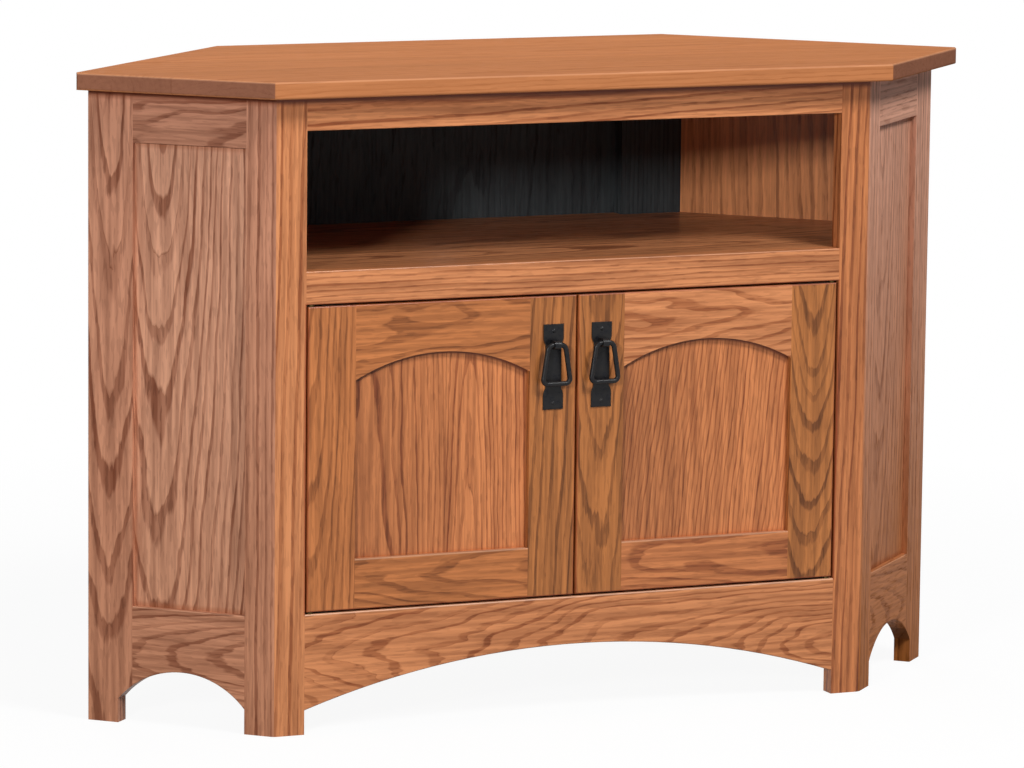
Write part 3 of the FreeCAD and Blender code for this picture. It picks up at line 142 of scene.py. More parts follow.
class Nodes:
    """A node tree that is wired by calls, each of which returns the socket or node that it made.

    A source is a socket to link from, or a plain value to set.
    """

    def __init__(self, tree: bpy.types.NodeTree) -> None:
        """Keep the tree that the calls add to."""
        self.tree = tree

    def add(self, kind: str, **settings: object) -> bpy.types.Node:
        """Add a node.

        Args:
            kind: the node's type.
            settings: its own properties.

        Returns:
            The node.
        """
        node = self.tree.nodes.new(kind)
        for name, setting in settings.items():
            setattr(node, name, setting)
        return node

    def feed(self, socket: Socket, source: object) -> None:
        """Link a socket to a source socket, or set it to a plain value.

        Args:
            socket: the input to feed.
            source: what it takes.
        """
        if isinstance(source, Socket):
            self.tree.links.new(source, socket)
        else:
            socket.default_value = source

    def fit(self, kind: str, sources: dict | tuple, **settings: object) -> bpy.types.Node:
        """Add a node and feed its inputs.

        Args:
            kind: the node's type.
            sources: what the inputs take, by their names or numbers, or a tuple in their order.
            settings: its own properties.

        Returns:
            The node.
        """
        node = self.add(kind, **settings)
        pairs = sources.items() if isinstance(sources, dict) else enumerate(sources)
        for key, source in pairs:
            self.feed(node.inputs[key], source)
        return node

    def group(self, tree: bpy.types.NodeTree, sources: dict[str, object]) -> bpy.types.Node:
        """Place a shared group and feed its inputs by their names."""
        return self.fit("ShaderNodeGroup", sources, node_tree=tree)

    def math(self, operation: str, *sources: object, clamp: bool = False) -> Socket:
        """A number worked out from others, held between 0 and 1 if it is clamped."""
        return self.fit("ShaderNodeMath", sources, operation=operation, use_clamp=clamp).outputs[0]

    def vector(self, operation: str, *sources: object, output: str = "Vector") -> Socket:
        """A vector worked out from others, or the "Value" that some operations give."""
        return self.fit("ShaderNodeVectorMath", sources, operation=operation).outputs[output]

    def split(self, vector: object) -> tuple[Socket, ...]:
        """The three numbers of a vector."""
        return tuple(self.fit("ShaderNodeSeparateXYZ", (vector,)).outputs)

    def join(self, *parts: object) -> Socket:
        """A vector made of three numbers."""
        return self.fit("ShaderNodeCombineXYZ", parts).outputs[0]

    def noise(self, vector: object, scale: object, detail: float = 1.0, output: str = "Fac") -> Socket:
        """Smooth noise with so many cycles in a metre each way, as a "Fac" or as three numbers in a "Color"."""
        place = self.vector("MULTIPLY", vector, scale)
        return self.fit("ShaderNodeTexNoise", {"Vector": place, "Scale": 1.0, "Detail": detail}).outputs[output]

    def length(self, first: Socket, second: Socket) -> Socket:
        """How far a point lies from a line, by its distances in two directions."""
        squares = (self.math("MULTIPLY", part, part) for part in (first, second))
        return self.math("SQRT", self.math("ADD", *squares))

    def pick(self, number: object) -> Socket:
        """A random number between 0 and 1 for each whole number."""
        node = self.fit("ShaderNodeTexWhiteNoise", {"W": self.math("FLOOR", number)}, noise_dimensions="1D")
        return node.outputs["Value"]

    def remap(self, source: object, low: float, high: float, to_low: float = 0.0, to_high: float = 1.0) -> Socket:
        """A number carried from one range to another, and held inside it."""
        return self.fit("ShaderNodeMapRange", (source, low, high, to_low, to_high)).outputs[0]

    def blend(self, share: object, first: object, second: object, mode: str = "MIX") -> Socket:
        """Two colours mixed: the first where the share is 0, and the second where it is 1."""
        sources = {MIX_SHARE: share, MIX_FIRST: first, MIX_SECOND: second}
        return self.fit("ShaderNodeMix", sources, data_type="RGBA", blend_type=mode).outputs[MIX_RESULT]

    def ramp(self, source: object, stops: tuple[tuple[float, float], ...]) -> Socket:
        """Read a number off a grey ramp.

        Args:
            source: the number.
            stops: the ramp's stops, each a place and a level.

        Returns:
            The level.
        """
        node = self.fit("ShaderNodeValToRGB", (source,))
        elements = node.color_ramp.elements
        while len(elements) < len(stops):
            elements.new(0.5)
        for element, (place, level) in zip(elements, stops):
            element.position = place
            element.color = (level, level, level, 1.0)
        return node.outputs[0]

    def seen(self) -> Socket:
        """Find where the camera, gloss or glass looks.

        Returns:
            One where they look, and zero where only light is gathered.
        """
        path = self.add("ShaderNodeLightPath")
        mirrored = self.math("MAXIMUM", path.outputs["Is Glossy Ray"], path.outputs["Is Transmission Ray"])
        return self.math("MAXIMUM", path.outputs["Is Camera Ray"], mirrored)

    def relief(self, height: Socket, strength: float, depth: float) -> Socket:
        """The normal that a height gives, where a height of 1 stands as high as the depth, in metres."""
        sources = {"Height": height, "Strength": strength, "Distance": depth}
        return self.fit("ShaderNodeBump", sources).outputs["Normal"]


def new_group(name: str, inputs: dict[str, str], outputs: dict[str, str]) -> tuple[Nodes, dict, dict]:
    """Start a shader node group with named inputs and outputs.

    Args:
        name: the group's name.
        inputs, outputs: each socket's name and its kind, such as "Float".

    Returns:
        The group's nodes, its inputs as sources, and its outputs as sockets to feed.
    """
    tree = bpy.data.node_groups.new(name, "ShaderNodeTree")
    for flow, sockets in (("INPUT", inputs), ("OUTPUT", outputs)):
        for socket, kind in sockets.items():
            tree.interface.new_socket(socket, in_out=flow, socket_type="NodeSocket" + kind)
    nodes = Nodes(tree)
    start, end = nodes.add("NodeGroupInput"), nodes.add("NodeGroupOutput")
    return nodes, {key: start.outputs[key] for key in inputs}, {key: end.inputs[key] for key in outputs}


def new_material(name: str) -> tuple[bpy.types.Material, Nodes, bpy.types.Node]:
    """Start a material.

    Args:
        name: its name.

    Returns:
        The material, its nodes and its Principled shader.
    """
    material = bpy.data.materials.new(name)
    material.use_nodes = True
    return material, Nodes(material.node_tree), material.node_tree.nodes["Principled BSDF"]


def dress(piece: bpy.types.Object, material: bpy.types.Material) -> None:
    """Make a material the only one on a piece."""
    piece.data.materials.clear()
    piece.data.materials.append(material)


def floats(*names: str) -> dict[str, str]:
    """Name some sockets that hold plain numbers."""
    return dict.fromkeys(names, "Float")


def oak_figure_group() -> bpy.types.NodeTree:
    """Growth rings, streaks and pores of a board sawn from a trunk.

    The rings are cylinders about a pith that lies beside or behind the board and leans along
    it, so a face close to the pith shows arches and one far from it shows straight lines.

    Returns:
        The group: its vector runs along the board, across it and out of its face, in metres.
    """
    nodes, given, made = new_group(
        "Oak figure",
        {"Vector": "Vector", **floats("Pith Across", "Pith Depth", "Lean Across", "Lean Depth", "Ring Width",
                                      "Wander", "Fray", "Smudge", "Fibre Size", "Seed")},
        floats("Rings", "Streaks", "Pores", "Tone"),
    )
    along, across, depth = nodes.split(given["Vector"])
    shift = nodes.join(*(nodes.math("MULTIPLY", given["Seed"], step) for step in SEED_STEP))
    place = nodes.vector("ADD", given["Vector"], shift)
    fine = nodes.vector("DIVIDE", place, nodes.join(1.0, given["Fibre Size"], given["Fibre Size"]))

    def sway(scale: Triple, share: float) -> tuple[Socket, ...]:
        """Noise that pushes the rings about.

        Args:
            scale: its cycles in a metre.
            share: its reach, as a share of the wander.

        Returns:
            The push along the board, across it and out of it.
        """
        centred = nodes.vector("SUBTRACT", nodes.noise(place, scale, 2.0, "Color"), (0.5, 0.5, 0.5))
        reach = nodes.math("MULTIPLY", given["Wander"], share)
        return nodes.split(nodes.vector("MULTIPLY", centred, nodes.join(reach, reach, reach)))

    slow, quick = sway(SLOW_SWAY, SLOW_SHARE), sway(QUICK_SWAY, QUICK_SHARE)

    def from_pith(part: Socket, way: str, axis: int) -> Socket:
        """Distance from the leaning pith in one direction.

        Args:
            part: the distance from the board's middle.
            way: the direction's name in the group's inputs.
            axis: the direction's number.

        Returns:
            The distance, pushed about by the sways.
        """
        line = nodes.math("MULTIPLY_ADD", along, given["Lean " + way], given["Pith " + way])
        return nodes.math("ADD", nodes.math("SUBTRACT", part, line), nodes.math("ADD", slow[axis], quick[axis]))

    fibre = nodes.noise(fine, FIBRES)
    fray = nodes.math("MULTIPLY", nodes.math("SUBTRACT", fibre, 0.5), given["Fray"])
    smooth = nodes.length(from_pith(across, "Across", 1), from_pith(depth, "Depth", 2))
    radius = nodes.math("ADD", smooth, fray)
    seasons = nodes.noise(nodes.join(radius, given["Seed"], 0.0), SEASONS)
    year = nodes.math("ADD", nodes.math("DIVIDE", radius, given["Ring Width"]),
                      nodes.math("MULTIPLY", seasons, SEASON_SWING))
    profile = nodes.ramp(nodes.math("FRACT", year), YEAR)
    clear = nodes.math("MULTIPLY", profile, nodes.remap(nodes.pick(year), *RING_CONTRAST))
    patches = nodes.remap(nodes.noise(place, PATCHES), *PATCH_RANGE)
    smudge = nodes.math("MULTIPLY", patches, nodes.remap(fibre, *SMUDGE_RANGE))
    rings = nodes.math("MAXIMUM", clear, nodes.math("MULTIPLY", smudge, given["Smudge"]))
    dashes = nodes.remap(nodes.noise(fine, DASHES), *DASH_RANGE)
    nodes.feed(made["Rings"], rings)
    nodes.feed(made["Streaks"], nodes.remap(nodes.noise(fine, STREAKS, 3.0), *STREAK_RANGE))
    crowd = nodes.math("MULTIPLY_ADD", rings, PORES_IN_RINGS, PORES_BETWEEN)
    nodes.feed(made["Pores"], nodes.math("MULTIPLY", dashes, crowd))
    nodes.feed(made["Tone"], nodes.noise(place, TONES))
    return nodes.tree


def staves_group() -> bpy.types.NodeTree:
    """Edge-glued staves: each stretch of a wide board gets a place in the wood of its own.

    Returns:
        The group: it puts out the vector inside the stave, a number per stave and the glue line.
    """
    nodes, given, made = new_group("Glued staves", {"Vector": "Vector", **floats("Stave Width", "Seed")},
                                   {"Vector": "Vector", **floats("Pick", "Joint")})
    along, across, depth = nodes.split(given["Vector"])
    row = nodes.math("ADD", nodes.math("DIVIDE", across, given["Stave Width"]), given["Seed"])
    inside = nodes.math("MULTIPLY", nodes.math("SUBTRACT", nodes.math("FRACT", row), 0.5), given["Stave Width"])
    number = nodes.pick(row)
    half = nodes.math("MULTIPLY", given["Stave Width"], 0.5)
    edge = nodes.math("SUBTRACT", half, nodes.math("ABSOLUTE", inside))
    nodes.feed(made["Vector"], nodes.join(nodes.math("MULTIPLY_ADD", number, STAVE_STEP, along), inside, depth))
    nodes.feed(made["Pick"], number)
    nodes.feed(made["Joint"], nodes.remap(edge, 0.0, GLUE_LINE, 1.0, 0.0))
    return nodes.tree


def stain_group() -> bpy.types.NodeTree:
    """Colour and gloss of stained oak from its figure.

    Returns:
        The group: colour, roughness and a height for the grain's relief.
    """
    nodes, given, made = new_group(
        "Oak stain",
        {**floats("Rings", "Streaks", "Pores", "Tone", "End Grain"),
         **dict.fromkeys(("Light", "Dark", "Pore Colour", "End Colour"), "Color"),
         **floats("Ring Strength", "Streak Strength", "Pore Strength", "Tone Swing", "Gloss")},
        {"Color": "Color", **floats("Roughness", "Height")},
    )
    depth = nodes.math("ADD", nodes.math("MULTIPLY", given["Rings"], given["Ring Strength"]),
                       nodes.math("MULTIPLY", given["Streaks"], given["Streak Strength"]), clamp=True)
    sawn = nodes.blend(depth, given["Light"], given["Dark"])
    wood = nodes.blend(nodes.math("MULTIPLY", given["End Grain"], END_SHARE), sawn, given["End Colour"])
    filled = nodes.blend(nodes.math("MULTIPLY", given["Pores"], given["Pore Strength"], clamp=True), wood,
                         given["Pore Colour"])
    broad = nodes.math("MULTIPLY_ADD", nodes.math("SUBTRACT", given["Tone"], 0.5), given["Tone Swing"], 1.0)
    swing = nodes.math("MULTIPLY", given["Streak Strength"], STREAK_LIGHT)
    level = nodes.math("MULTIPLY_ADD", nodes.math("SUBTRACT", 0.5, given["Streaks"]), swing, broad)
    nodes.feed(made["Color"], nodes.blend(1.0, filled, nodes.join(level, level, level), "MULTIPLY"))
    nodes.feed(made["Roughness"], nodes.math("MULTIPLY_ADD", given["Pores"], PORE_ROUGHNESS, given["Gloss"]))
    sunk = nodes.math("MULTIPLY_ADD", given["Rings"], RING_DEPTH, given["Pores"])
    nodes.feed(made["Height"], nodes.math("MULTIPLY", sunk, -1.0))
    return nodes.tree


def seam_group() -> bpy.types.NodeTree:
    """A band along the outline of a rectangle, on its inner side or on its outer side.

    Returns:
        The group: its mask is one on the outline and fades over the band's width.
    """
    nodes, given, made = new_group(
        "Seam band",
        {"Vector": "Vector", "Centre": "Vector", **floats("Half Along", "Half Across", "Side", "Width")},
        floats("Mask"),
    )
    away = nodes.vector("ABSOLUTE", nodes.vector("SUBTRACT", given["Vector"], given["Centre"]))
    along, across, _ = nodes.split(away)
    beyond = nodes.math("MAXIMUM", nodes.math("SUBTRACT", along, given["Half Along"]),
                        nodes.math("SUBTRACT", across, given["Half Across"]))
    reach = nodes.math("DIVIDE", nodes.math("MULTIPLY", beyond, given["Side"]), given["Width"])
    nodes.feed(made["Mask"], nodes.math("ADD", reach, 1.0, clamp=True))
    return nodes.tree


def arch_group() -> bpy.types.NodeTree:
    """A band under an arch: part of a circle, on its inner side.

    Returns:
        The group: its mask is one on the circle and fades inwards over the band's width.
    """
    nodes, given, made = new_group(
        "Arch band",
        {"Vector": "Vector", "Centre": "Vector", **floats("Radius", "Width")},
        floats("Mask"),
    )
    along, across, _ = nodes.split(nodes.vector("SUBTRACT", given["Vector"], given["Centre"]))
    beyond = nodes.math("SUBTRACT", nodes.length(along, across), given["Radius"])
    nodes.feed(made["Mask"], nodes.math("ADD", nodes.math("DIVIDE", beyond, given["Width"]), 1.0, clamp=True))
    return nodes.tree


def metal_skin_group() -> bpy.types.NodeTree:
    """Uneven skin of a metal part: blotches, fine grit and stretched brush marks.

    Returns:
        The group: a mask of blotches, a roughness and a height.
    """
    nodes, given, made = new_group("Metal skin", {"Vector": "Vector", **floats("Blotch Size", "Brush", "Gloss")},
                                   floats("Blotches", "Roughness", "Height"))
    pitch = nodes.math("DIVIDE", 1.0, given["Blotch Size"])
    blotches = nodes.remap(nodes.noise(given["Vector"], nodes.join(pitch, pitch, pitch), 3.0), *BLOTCH_RANGE)
    grit = nodes.noise(given["Vector"], GRIT, 2.0)
    marks = nodes.math("MULTIPLY", nodes.noise(given["Vector"], BRUSH_MARKS, 2.0), given["Brush"])
    rough = nodes.math("MULTIPLY_ADD", blotches, BLOTCH_ROUGHNESS, given["Gloss"])
    nodes.feed(made["Blotches"], blotches)
    nodes.feed(made["Roughness"], nodes.math("MULTIPLY_ADD", grit, GRIT_ROUGHNESS, rough))
    nodes.feed(made["Height"], nodes.math("ADD", nodes.math("MULTIPLY_ADD", blotches, BLOTCH_DEPTH, marks), grit))
    return nodes.tree


@dataclass(frozen=True)
class Stain:
    """The stain on one kind of board, and how strongly its figure shows.

    The height shading is painted light and sheen: how much each channel gains with every metre above the cabinet's
    middle height.
    """

    light: Shade
    dark: Shade
    pore: Shade
    rings: float = 0.75
    streaks: float = 0.3
    pores: float = 0.42
    swing: float = 0.22
    gloss: float = 0.42
    specular: float = 0.2
    varnish: float = 0.25
    # How strongly a painted highlight lies on eased edges that look up.
    rim_highlight: float = 0.2
    fade: Triple = (0.0, 0.0, 0.0)


FRAME_STAIN = Stain((209, 137, 89), (132, 64, 26), (98, 46, 18), rings=0.66)
DOOR_STAIN = Stain((193, 119, 68), (116, 61, 25), (82, 42, 16), rings=0.68)
OLIVE_STAIN = Stain((184, 115, 62), (104, 57, 24), (78, 42, 16))
PANEL_STAIN = Stain((200, 125, 76), (118, 54, 24), (86, 42, 18), rings=0.68)
# The sides' stains are pinker and cooler than the frame's: partly the oak's stain, partly a painted reflection of
# the sheen that the sides catch at a slant.
LEFT_STAIN = Stain((204, 143, 112), (122, 66, 43), (96, 52, 34), specular=0.12, varnish=0.06, fade=(0.2, 0.3, 0.45))
LEFT_CORNER_STAIN = replace(LEFT_STAIN, light=(199, 139, 108), fade=(-0.05, 0.0, 0.15))
LEFT_PANEL_STAIN = replace(LEFT_STAIN, light=(216, 157, 125), dark=(126, 68, 44), rings=0.68)
RIGHT_STAIN = Stain((206, 142, 107), (131, 76, 48), (106, 60, 39), rings=0.5, streaks=0.2, specular=0.03,
                    varnish=0.0, fade=(0.45, 1.0, 2.0))
TOP_STAIN = Stain((199, 129, 83), (156, 86, 44), (112, 60, 30), rings=0.28, streaks=0.1, pores=0.12, gloss=0.7,
                  specular=0.02, varnish=0.0, rim_highlight=0.13)
INSIDE_STAIN = Stain((192, 128, 84), (112, 62, 36), (76, 42, 24), specular=0.15)
WALL_STAIN = Stain((216, 143, 92), (112, 60, 32), (84, 44, 24), rings=0.5, streaks=0.25, pores=0.3, specular=0.1)
# Painted shade: a dark slate colour on the back panel, rear posts and rear rails stands in for the shadow deep in
# the open bay.
BAY_SHADOW_STAIN = Stain((66, 71, 73), (48, 50, 52), (36, 37, 38), specular=0.1, varnish=0.0, rim_highlight=0.0)
END_GRAIN = (136, 91, 75)
# Painted shade: the red-brown of the faces along the door gaps.
GAP_SHADE_BROWN = (138, 52, 14)
# Painted shade where panels go into their grooves.
GROOVE_SHADE_BROWN = (150, 80, 42)
# Painted shadow under the top's overhang.
SHADE_BROWN = (125, 62, 36)
# Painted shadow under the door arches.
ARCH_SHADOW_BROWN = (106, 52, 26)
# Pale colour of the painted highlights on edges and ledges that look up.
PAINTED_HIGHLIGHT = (238, 196, 166)


@dataclass(frozen=True)
class Cut:
    """How a board was sawn: where the pith lies from its middle, how it leans, its ring width.

    The tone slope is how much lighter the board gets with every metre across it.
    """

    pith_across: float = 0.0
    pith_depth: float = -0.12
    lean_across: float = 0.0
    lean_depth: float = 0.05
    ring_width: float = 0.0042
    wander: float = 0.006
    fray: float = 0.0022
    smudge: float = 0.5
    stave_width: float = 0.0
    fibre_size: float = 1.35
    tone_slope: float = 0.0


RIFT = Cut(pith_across=0.11, pith_depth=-0.09, lean_across=0.012, lean_depth=0.015, ring_width=0.005,
           wander=0.004, fray=0.0012, smudge=0.2)
SIDE_RIFT = replace(RIFT, ring_width=0.008, fray=0.0016, fibre_size=1.7)
COARSE = Cut(pith_across=0.1, pith_depth=-0.08, lean_across=-0.012, lean_depth=0.015, ring_width=0.0085,
             fray=0.0014, smudge=0.2)
LOCK_STILE = Cut(pith_across=0.1, pith_depth=-0.07, lean_across=-0.04, lean_depth=0.02, ring_width=0.0085,
                 wander=0.009, fray=0.001, smudge=0.3)
SLANTED = Cut(pith_across=0.034, pith_depth=-0.03, lean_across=0.03, lean_depth=0.06, ring_width=0.006,
              wander=0.01, fray=0.0014, smudge=0.9)
FLAT = Cut(pith_depth=-0.035, ring_width=0.0055, wander=0.012, fray=0.002, smudge=0.8)
SIDE_FLAT = Cut(pith_depth=-0.03, lean_depth=0.08, ring_width=0.0085, wander=0.01, fray=0.002, fibre_size=2.0)
BOWED = Cut(pith_depth=-0.045, lean_depth=0.1, ring_width=0.0045, wander=0.007, fray=0.001, smudge=0.3)
CHEVRONS = Cut(pith_depth=-0.04, lean_depth=-0.09, ring_width=0.0055, wander=0.009, fray=0.0016, smudge=0.3)
WAVY = Cut(pith_across=0.012, pith_depth=-0.04, lean_across=0.03, lean_depth=-0.05, ring_width=0.0065,
           wander=0.018, fray=0.0009, smudge=0.7)
CALM = replace(WAVY, lean_across=-0.04, lean_depth=0.07, smudge=0.3)
PANEL = Cut(pith_across=0.035, pith_depth=-0.055, lean_depth=0.035, ring_width=0.0052, wander=0.009,
            fray=0.0013, smudge=0.35, stave_width=0.125)
DOOR_PANEL = replace(PANEL, tone_slope=-9.0)
LEANING_PANEL = Cut(pith_across=0.035, pith_depth=-0.045, lean_across=-0.13, lean_depth=0.03,
                    ring_width=0.0058, wander=0.013, fray=0.001, stave_width=0.15, tone_slope=-8.0)
SIDE_PANEL = Cut(pith_across=0.04, pith_depth=-0.036, lean_depth=0.09, ring_width=0.0085, wander=0.012,
                 fray=0.0012, smudge=0.3, fibre_size=1.6)
WALL_CUT = Cut(pith_across=0.16, lean_across=-0.02, lean_depth=0.02, ring_width=0.013, wander=0.014,
               fray=0.0012, smudge=0.25, fibre_size=1.5)
# Its tone slope darkens the top towards the front: painted shade on the top and its front edge.
TOP_CUT = Cut(pith_depth=-0.1, lean_depth=0.02, ring_width=0.005, wander=0.008, smudge=0.2,
              stave_width=0.118, tone_slope=2.4)
TOP_RAIL_CUT = Cut(pith_across=0.05, pith_depth=-0.06, lean_across=0.07, lean_depth=0.02, ring_width=0.006,
                   fray=0.0014)
MIDDLE_RAIL_CUT = Cut(pith_across=0.1, pith_depth=-0.08, lean_across=0.015, lean_depth=0.01,
                      ring_width=0.0045, wander=0.005, fray=0.0014)
BOTTOM_RAIL_CUT = Cut(pith_across=-0.01, pith_depth=-0.06, lean_across=-0.04, lean_depth=0.14,
                      ring_width=0.006, wander=0.02, fray=0.001)


@dataclass(frozen=True)
class Seam:
    """A band of painted shade or painted highlight along a joint: the outline of some nodes, moved inwards by an
    inset.
    """

    around: tuple[str, ...]
    colour: Shade
    width: float
    inset: float = 0.0
    outside: bool = False
    strength: float = 0.85

    def rectangle(self, turn: Matrix, middle: Vector) -> tuple[Vector, Vector]:
        """Find the outline as a board sees it.

        Args:
            turn: the board's turn.
            middle: the middle of the board's box.

        Returns:
            The outline's centre and its half sizes, along and across the board.
        """
        corners = [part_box(node) for node in self.around]
        low = Vector([min(corner[0][axis] for corner in corners) for axis in range(3)])
        high = Vector([max(corner[1][axis] for corner in corners) for axis in range(3)])
        plain = Matrix([[abs(share) for share in row] for row in turn])
        return turn @ ((low + high) / 2 - middle), plain @ ((high - low) / 2) - Vector((self.inset,) * 3)


@dataclass(frozen=True)
class Arch:
    """A painted shadow line under an arched rail, on the panel whose upper edge the rail grips."""

    colour: Shade = ARCH_SHADOW_BROWN
    width: float = 0.0048
    grip: float = DOOR_GRIP
    rise: float = 0.028
    strength: float = 1.5

    def circle(self, panel: str, turn: Matrix, middle: Vector) -> tuple[Vector, float]:
        """Find the arch's circle as its panel sees it.

        Args:
            panel: the panel's node.
            turn: the panel's turn.
            middle: the middle of the panel's box.

        Returns:
            The circle's centre and its radius.
        """
        low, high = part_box(panel)
        half_chord = (high.x - low.x) / 2 - self.grip
        radius = (half_chord ** 2 + self.rise ** 2) / (2 * self.rise)
        centre = Vector((middle.x, middle.y, high.z - self.grip - radius))
        return turn @ (centre - middle), radius


@dataclass(frozen=True)
class Board:
    """One CAD node that is a board, with the wood that it was cut from."""

    node: str
    lie: Lie
    stain: Stain
    cut: Cut
    seed: int
    # Bands of painted shade or highlight along the board's joints; the arch below adds a painted shadow.
    seams: tuple[Seam, ...] = ()
    arch: Arch | None = None


class OakShop:
    """The node groups that all oak boards share."""

    def __init__(self) -> None:
        """Make the groups once."""
        self.figure = oak_figure_group()
        self.staves = staves_group()
        self.stain = stain_group()
        self.seam = seam_group()
        self.arch = arch_group()

    def dress(self, boards: tuple[Board, ...], nodes: dict[str, bpy.types.Object]) -> None:
        """Give some CAD boards their materials and report each.

        Args:
            boards: the boards.
            nodes: the CAD nodes by name.
        """
        for board in boards:
            dress(nodes[board.node], OakSurface(board, self).build())
            log.info("board %s: %s", board.node, board.lie.name)


class OakSurface:
    """The material of one board: its wood, its stain, and the painted shade and highlight lines along its joints."""

    def __init__(self, board: Board, shop: OakShop) -> None:
        """Start the material, with coordinates that run along the board.

        Args:
            board: the board and its wood.
            shop: the shared node groups.
        """
        self.board, self.shop = board, shop
        self.material, self.nodes, self.shader = new_material("oak_" + board.node)
        low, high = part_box(board.node)
        self.turn, self.middle = board.lie.turn(), (low + high) / 2
        self.spot = self.nodes.add("ShaderNodeTexCoord")
        self.place = self.nodes.fit("ShaderNodeMapping", {
            "Vector": self.spot.outputs["Object"], "Location": -(self.turn @ self.middle),
            "Rotation": self.turn.to_euler()}).outputs["Vector"]
        self.run, self.face = (self.nodes.vector("DOT_PRODUCT", self.spot.outputs["Normal"], way, output="Value")
                               for way in board.lie.value)

    def build(self) -> bpy.types.Material:
        """Wire the material.

        Returns:
            The finished material.
        """
        nodes, finish = self.nodes, self.board.stain
        figure, joint = self.saw()
        stain = self.rub_in(figure)
        colour = stain.outputs["Color"]
        if joint is not None:
            colour = nodes.blend(nodes.math("MULTIPLY", joint, GLUE_SHARE), colour, paint(finish.pore))
        # Painted light: shading by height, highlights on edges that look up, and shade and highlight lines at the
        # joints.
        colour = self.draw_lines(self.paint_edge_highlights(self.fade(colour)))
        nodes.feed(self.shader.inputs["Base Color"], colour)
        nodes.feed(self.shader.inputs["Roughness"], stain.outputs["Roughness"])
        nodes.feed(self.shader.inputs["Normal"], nodes.relief(stain.outputs["Height"], OAK_RELIEF, OAK_DEPTH))
        self.shader.inputs["Specular IOR Level"].default_value = finish.specular
        self.shader.inputs["Coat Weight"].default_value = finish.varnish
        self.shader.inputs["Coat Roughness"].default_value = COAT_ROUGHNESS
        return self.material

    def saw(self) -> tuple[bpy.types.Node, Socket | None]:
        """Lay the trunk's figure into the board, stave by stave if it is glued up.

        Returns:
            The figure's node, and the mask of the glue lines if there are any.
        """
        cut, place, joint = self.board.cut, self.place, None
        seed: object = float(self.board.seed)
        if cut.stave_width:
            staves = self.nodes.group(self.shop.staves, {"Vector": place, "Stave Width": cut.stave_width,
                                                         "Seed": self.board.seed * STAVE_SHIFT})
            place, joint = staves.outputs["Vector"], staves.outputs["Joint"]
            seed = self.nodes.math("MULTIPLY_ADD", staves.outputs["Pick"], STAVE_SPREAD, seed)
        figure = self.nodes.group(self.shop.figure, {
            "Vector": place, "Pith Across": cut.pith_across, "Pith Depth": cut.pith_depth,
            "Lean Across": cut.lean_across, "Lean Depth": cut.lean_depth, "Ring Width": cut.ring_width,
            "Wander": cut.wander, "Fray": cut.fray, "Smudge": cut.smudge, "Fibre Size": cut.fibre_size,
            "Seed": seed})
        return figure, joint

    def rub_in(self, figure: bpy.types.Node) -> bpy.types.Node:
        """Stain the figure.

        Args:
            figure: the figure's node.

        Returns:
            The stain's node.
        """
        nodes, finish = self.nodes, self.board.stain
        _, across, _ = nodes.split(self.place)
        tone = nodes.math("MULTIPLY_ADD", across, self.board.cut.tone_slope, figure.outputs["Tone"])
        return nodes.group(self.shop.stain, {
            "Rings": figure.outputs["Rings"], "Streaks": figure.outputs["Streaks"],
            "Pores": figure.outputs["Pores"], "Tone": tone,
            "End Grain": nodes.remap(nodes.math("ABSOLUTE", self.run), *END_RANGE),
            "Light": paint(finish.light), "Dark": paint(finish.dark), "Pore Colour": paint(finish.pore),
            "End Colour": paint(END_GRAIN), "Ring Strength": finish.rings, "Streak Strength": finish.streaks,
            "Pore Strength": finish.pores, "Tone Swing": finish.swing, "Gloss": finish.gloss})

    def fade(self, colour: Socket) -> Socket:
        """Paint light and sheen into the colour by height, if the stain asks for it: mostly lighter and cooler
        higher up.

        Args:
            colour: the colour so far.

        Returns:
            The colour with the painted light and sheen.
        """
        nodes, gains = self.nodes, self.board.stain.fade
        if not any(gains):
            return colour
        _, _, height = nodes.split(self.spot.outputs["Object"])
        above = nodes.math("SUBTRACT", height, MIDDLE_HEIGHT)
        channels = (nodes.math("MULTIPLY_ADD", above, gain, 1.0) for gain in gains)
        return nodes.blend(1.0, colour, nodes.join(*channels), "MULTIPLY")

    def paint_edge_highlights(self, colour: Socket) -> Socket:
        """Paint highlights on the eased edges that look up, where they would catch light from above.

        Args:
            colour: the colour so far.

        Returns:
            The colour with the painted highlights.
        """
        nodes = self.nodes
        _, _, rise = nodes.split(self.spot.outputs["Normal"])
        eased = nodes.math("MULTIPLY", nodes.remap(rise, *RISING_RANGE), nodes.remap(rise, *LEVEL_RANGE))
        return nodes.blend(nodes.math("MULTIPLY", eased, self.board.stain.rim_highlight), colour, paint(PAINTED_HIGHLIGHT))

    def draw_lines(self, colour: Socket) -> Socket:
        """Paint the shade and highlight lines along the board's joints and the shadow under its arch, fainter on
        faces that don't look out.

        Args:
            colour: the colour so far.

        Returns:
            The colour with the painted lines.
        """
        nodes, board = self.nodes, self.board
        lines = []
        for seam in board.seams:
            centre, half = seam.rectangle(self.turn, self.middle)
            lines.append((seam, self.shop.seam, {"Centre": centre, "Half Along": half.x, "Half Across": half.y,
                                                 "Side": -1.0 if seam.outside else 1.0}))
        if board.arch is not None:
            centre, radius = board.arch.circle(board.node, self.turn, self.middle)
            lines.append((board.arch, self.shop.arch, {"Centre": centre, "Radius": radius}))
        shown = nodes.remap(self.face, *FACING_RANGE)
        for line, tree, sources in lines:
            band = nodes.group(tree, {"Vector": self.place, "Width": line.width, **sources})
            share = nodes.math("MULTIPLY", nodes.math("MULTIPLY", band.outputs["Mask"], shown), line.strength)
            colour = nodes.blend(share, colour, paint(line.colour))
        return colour


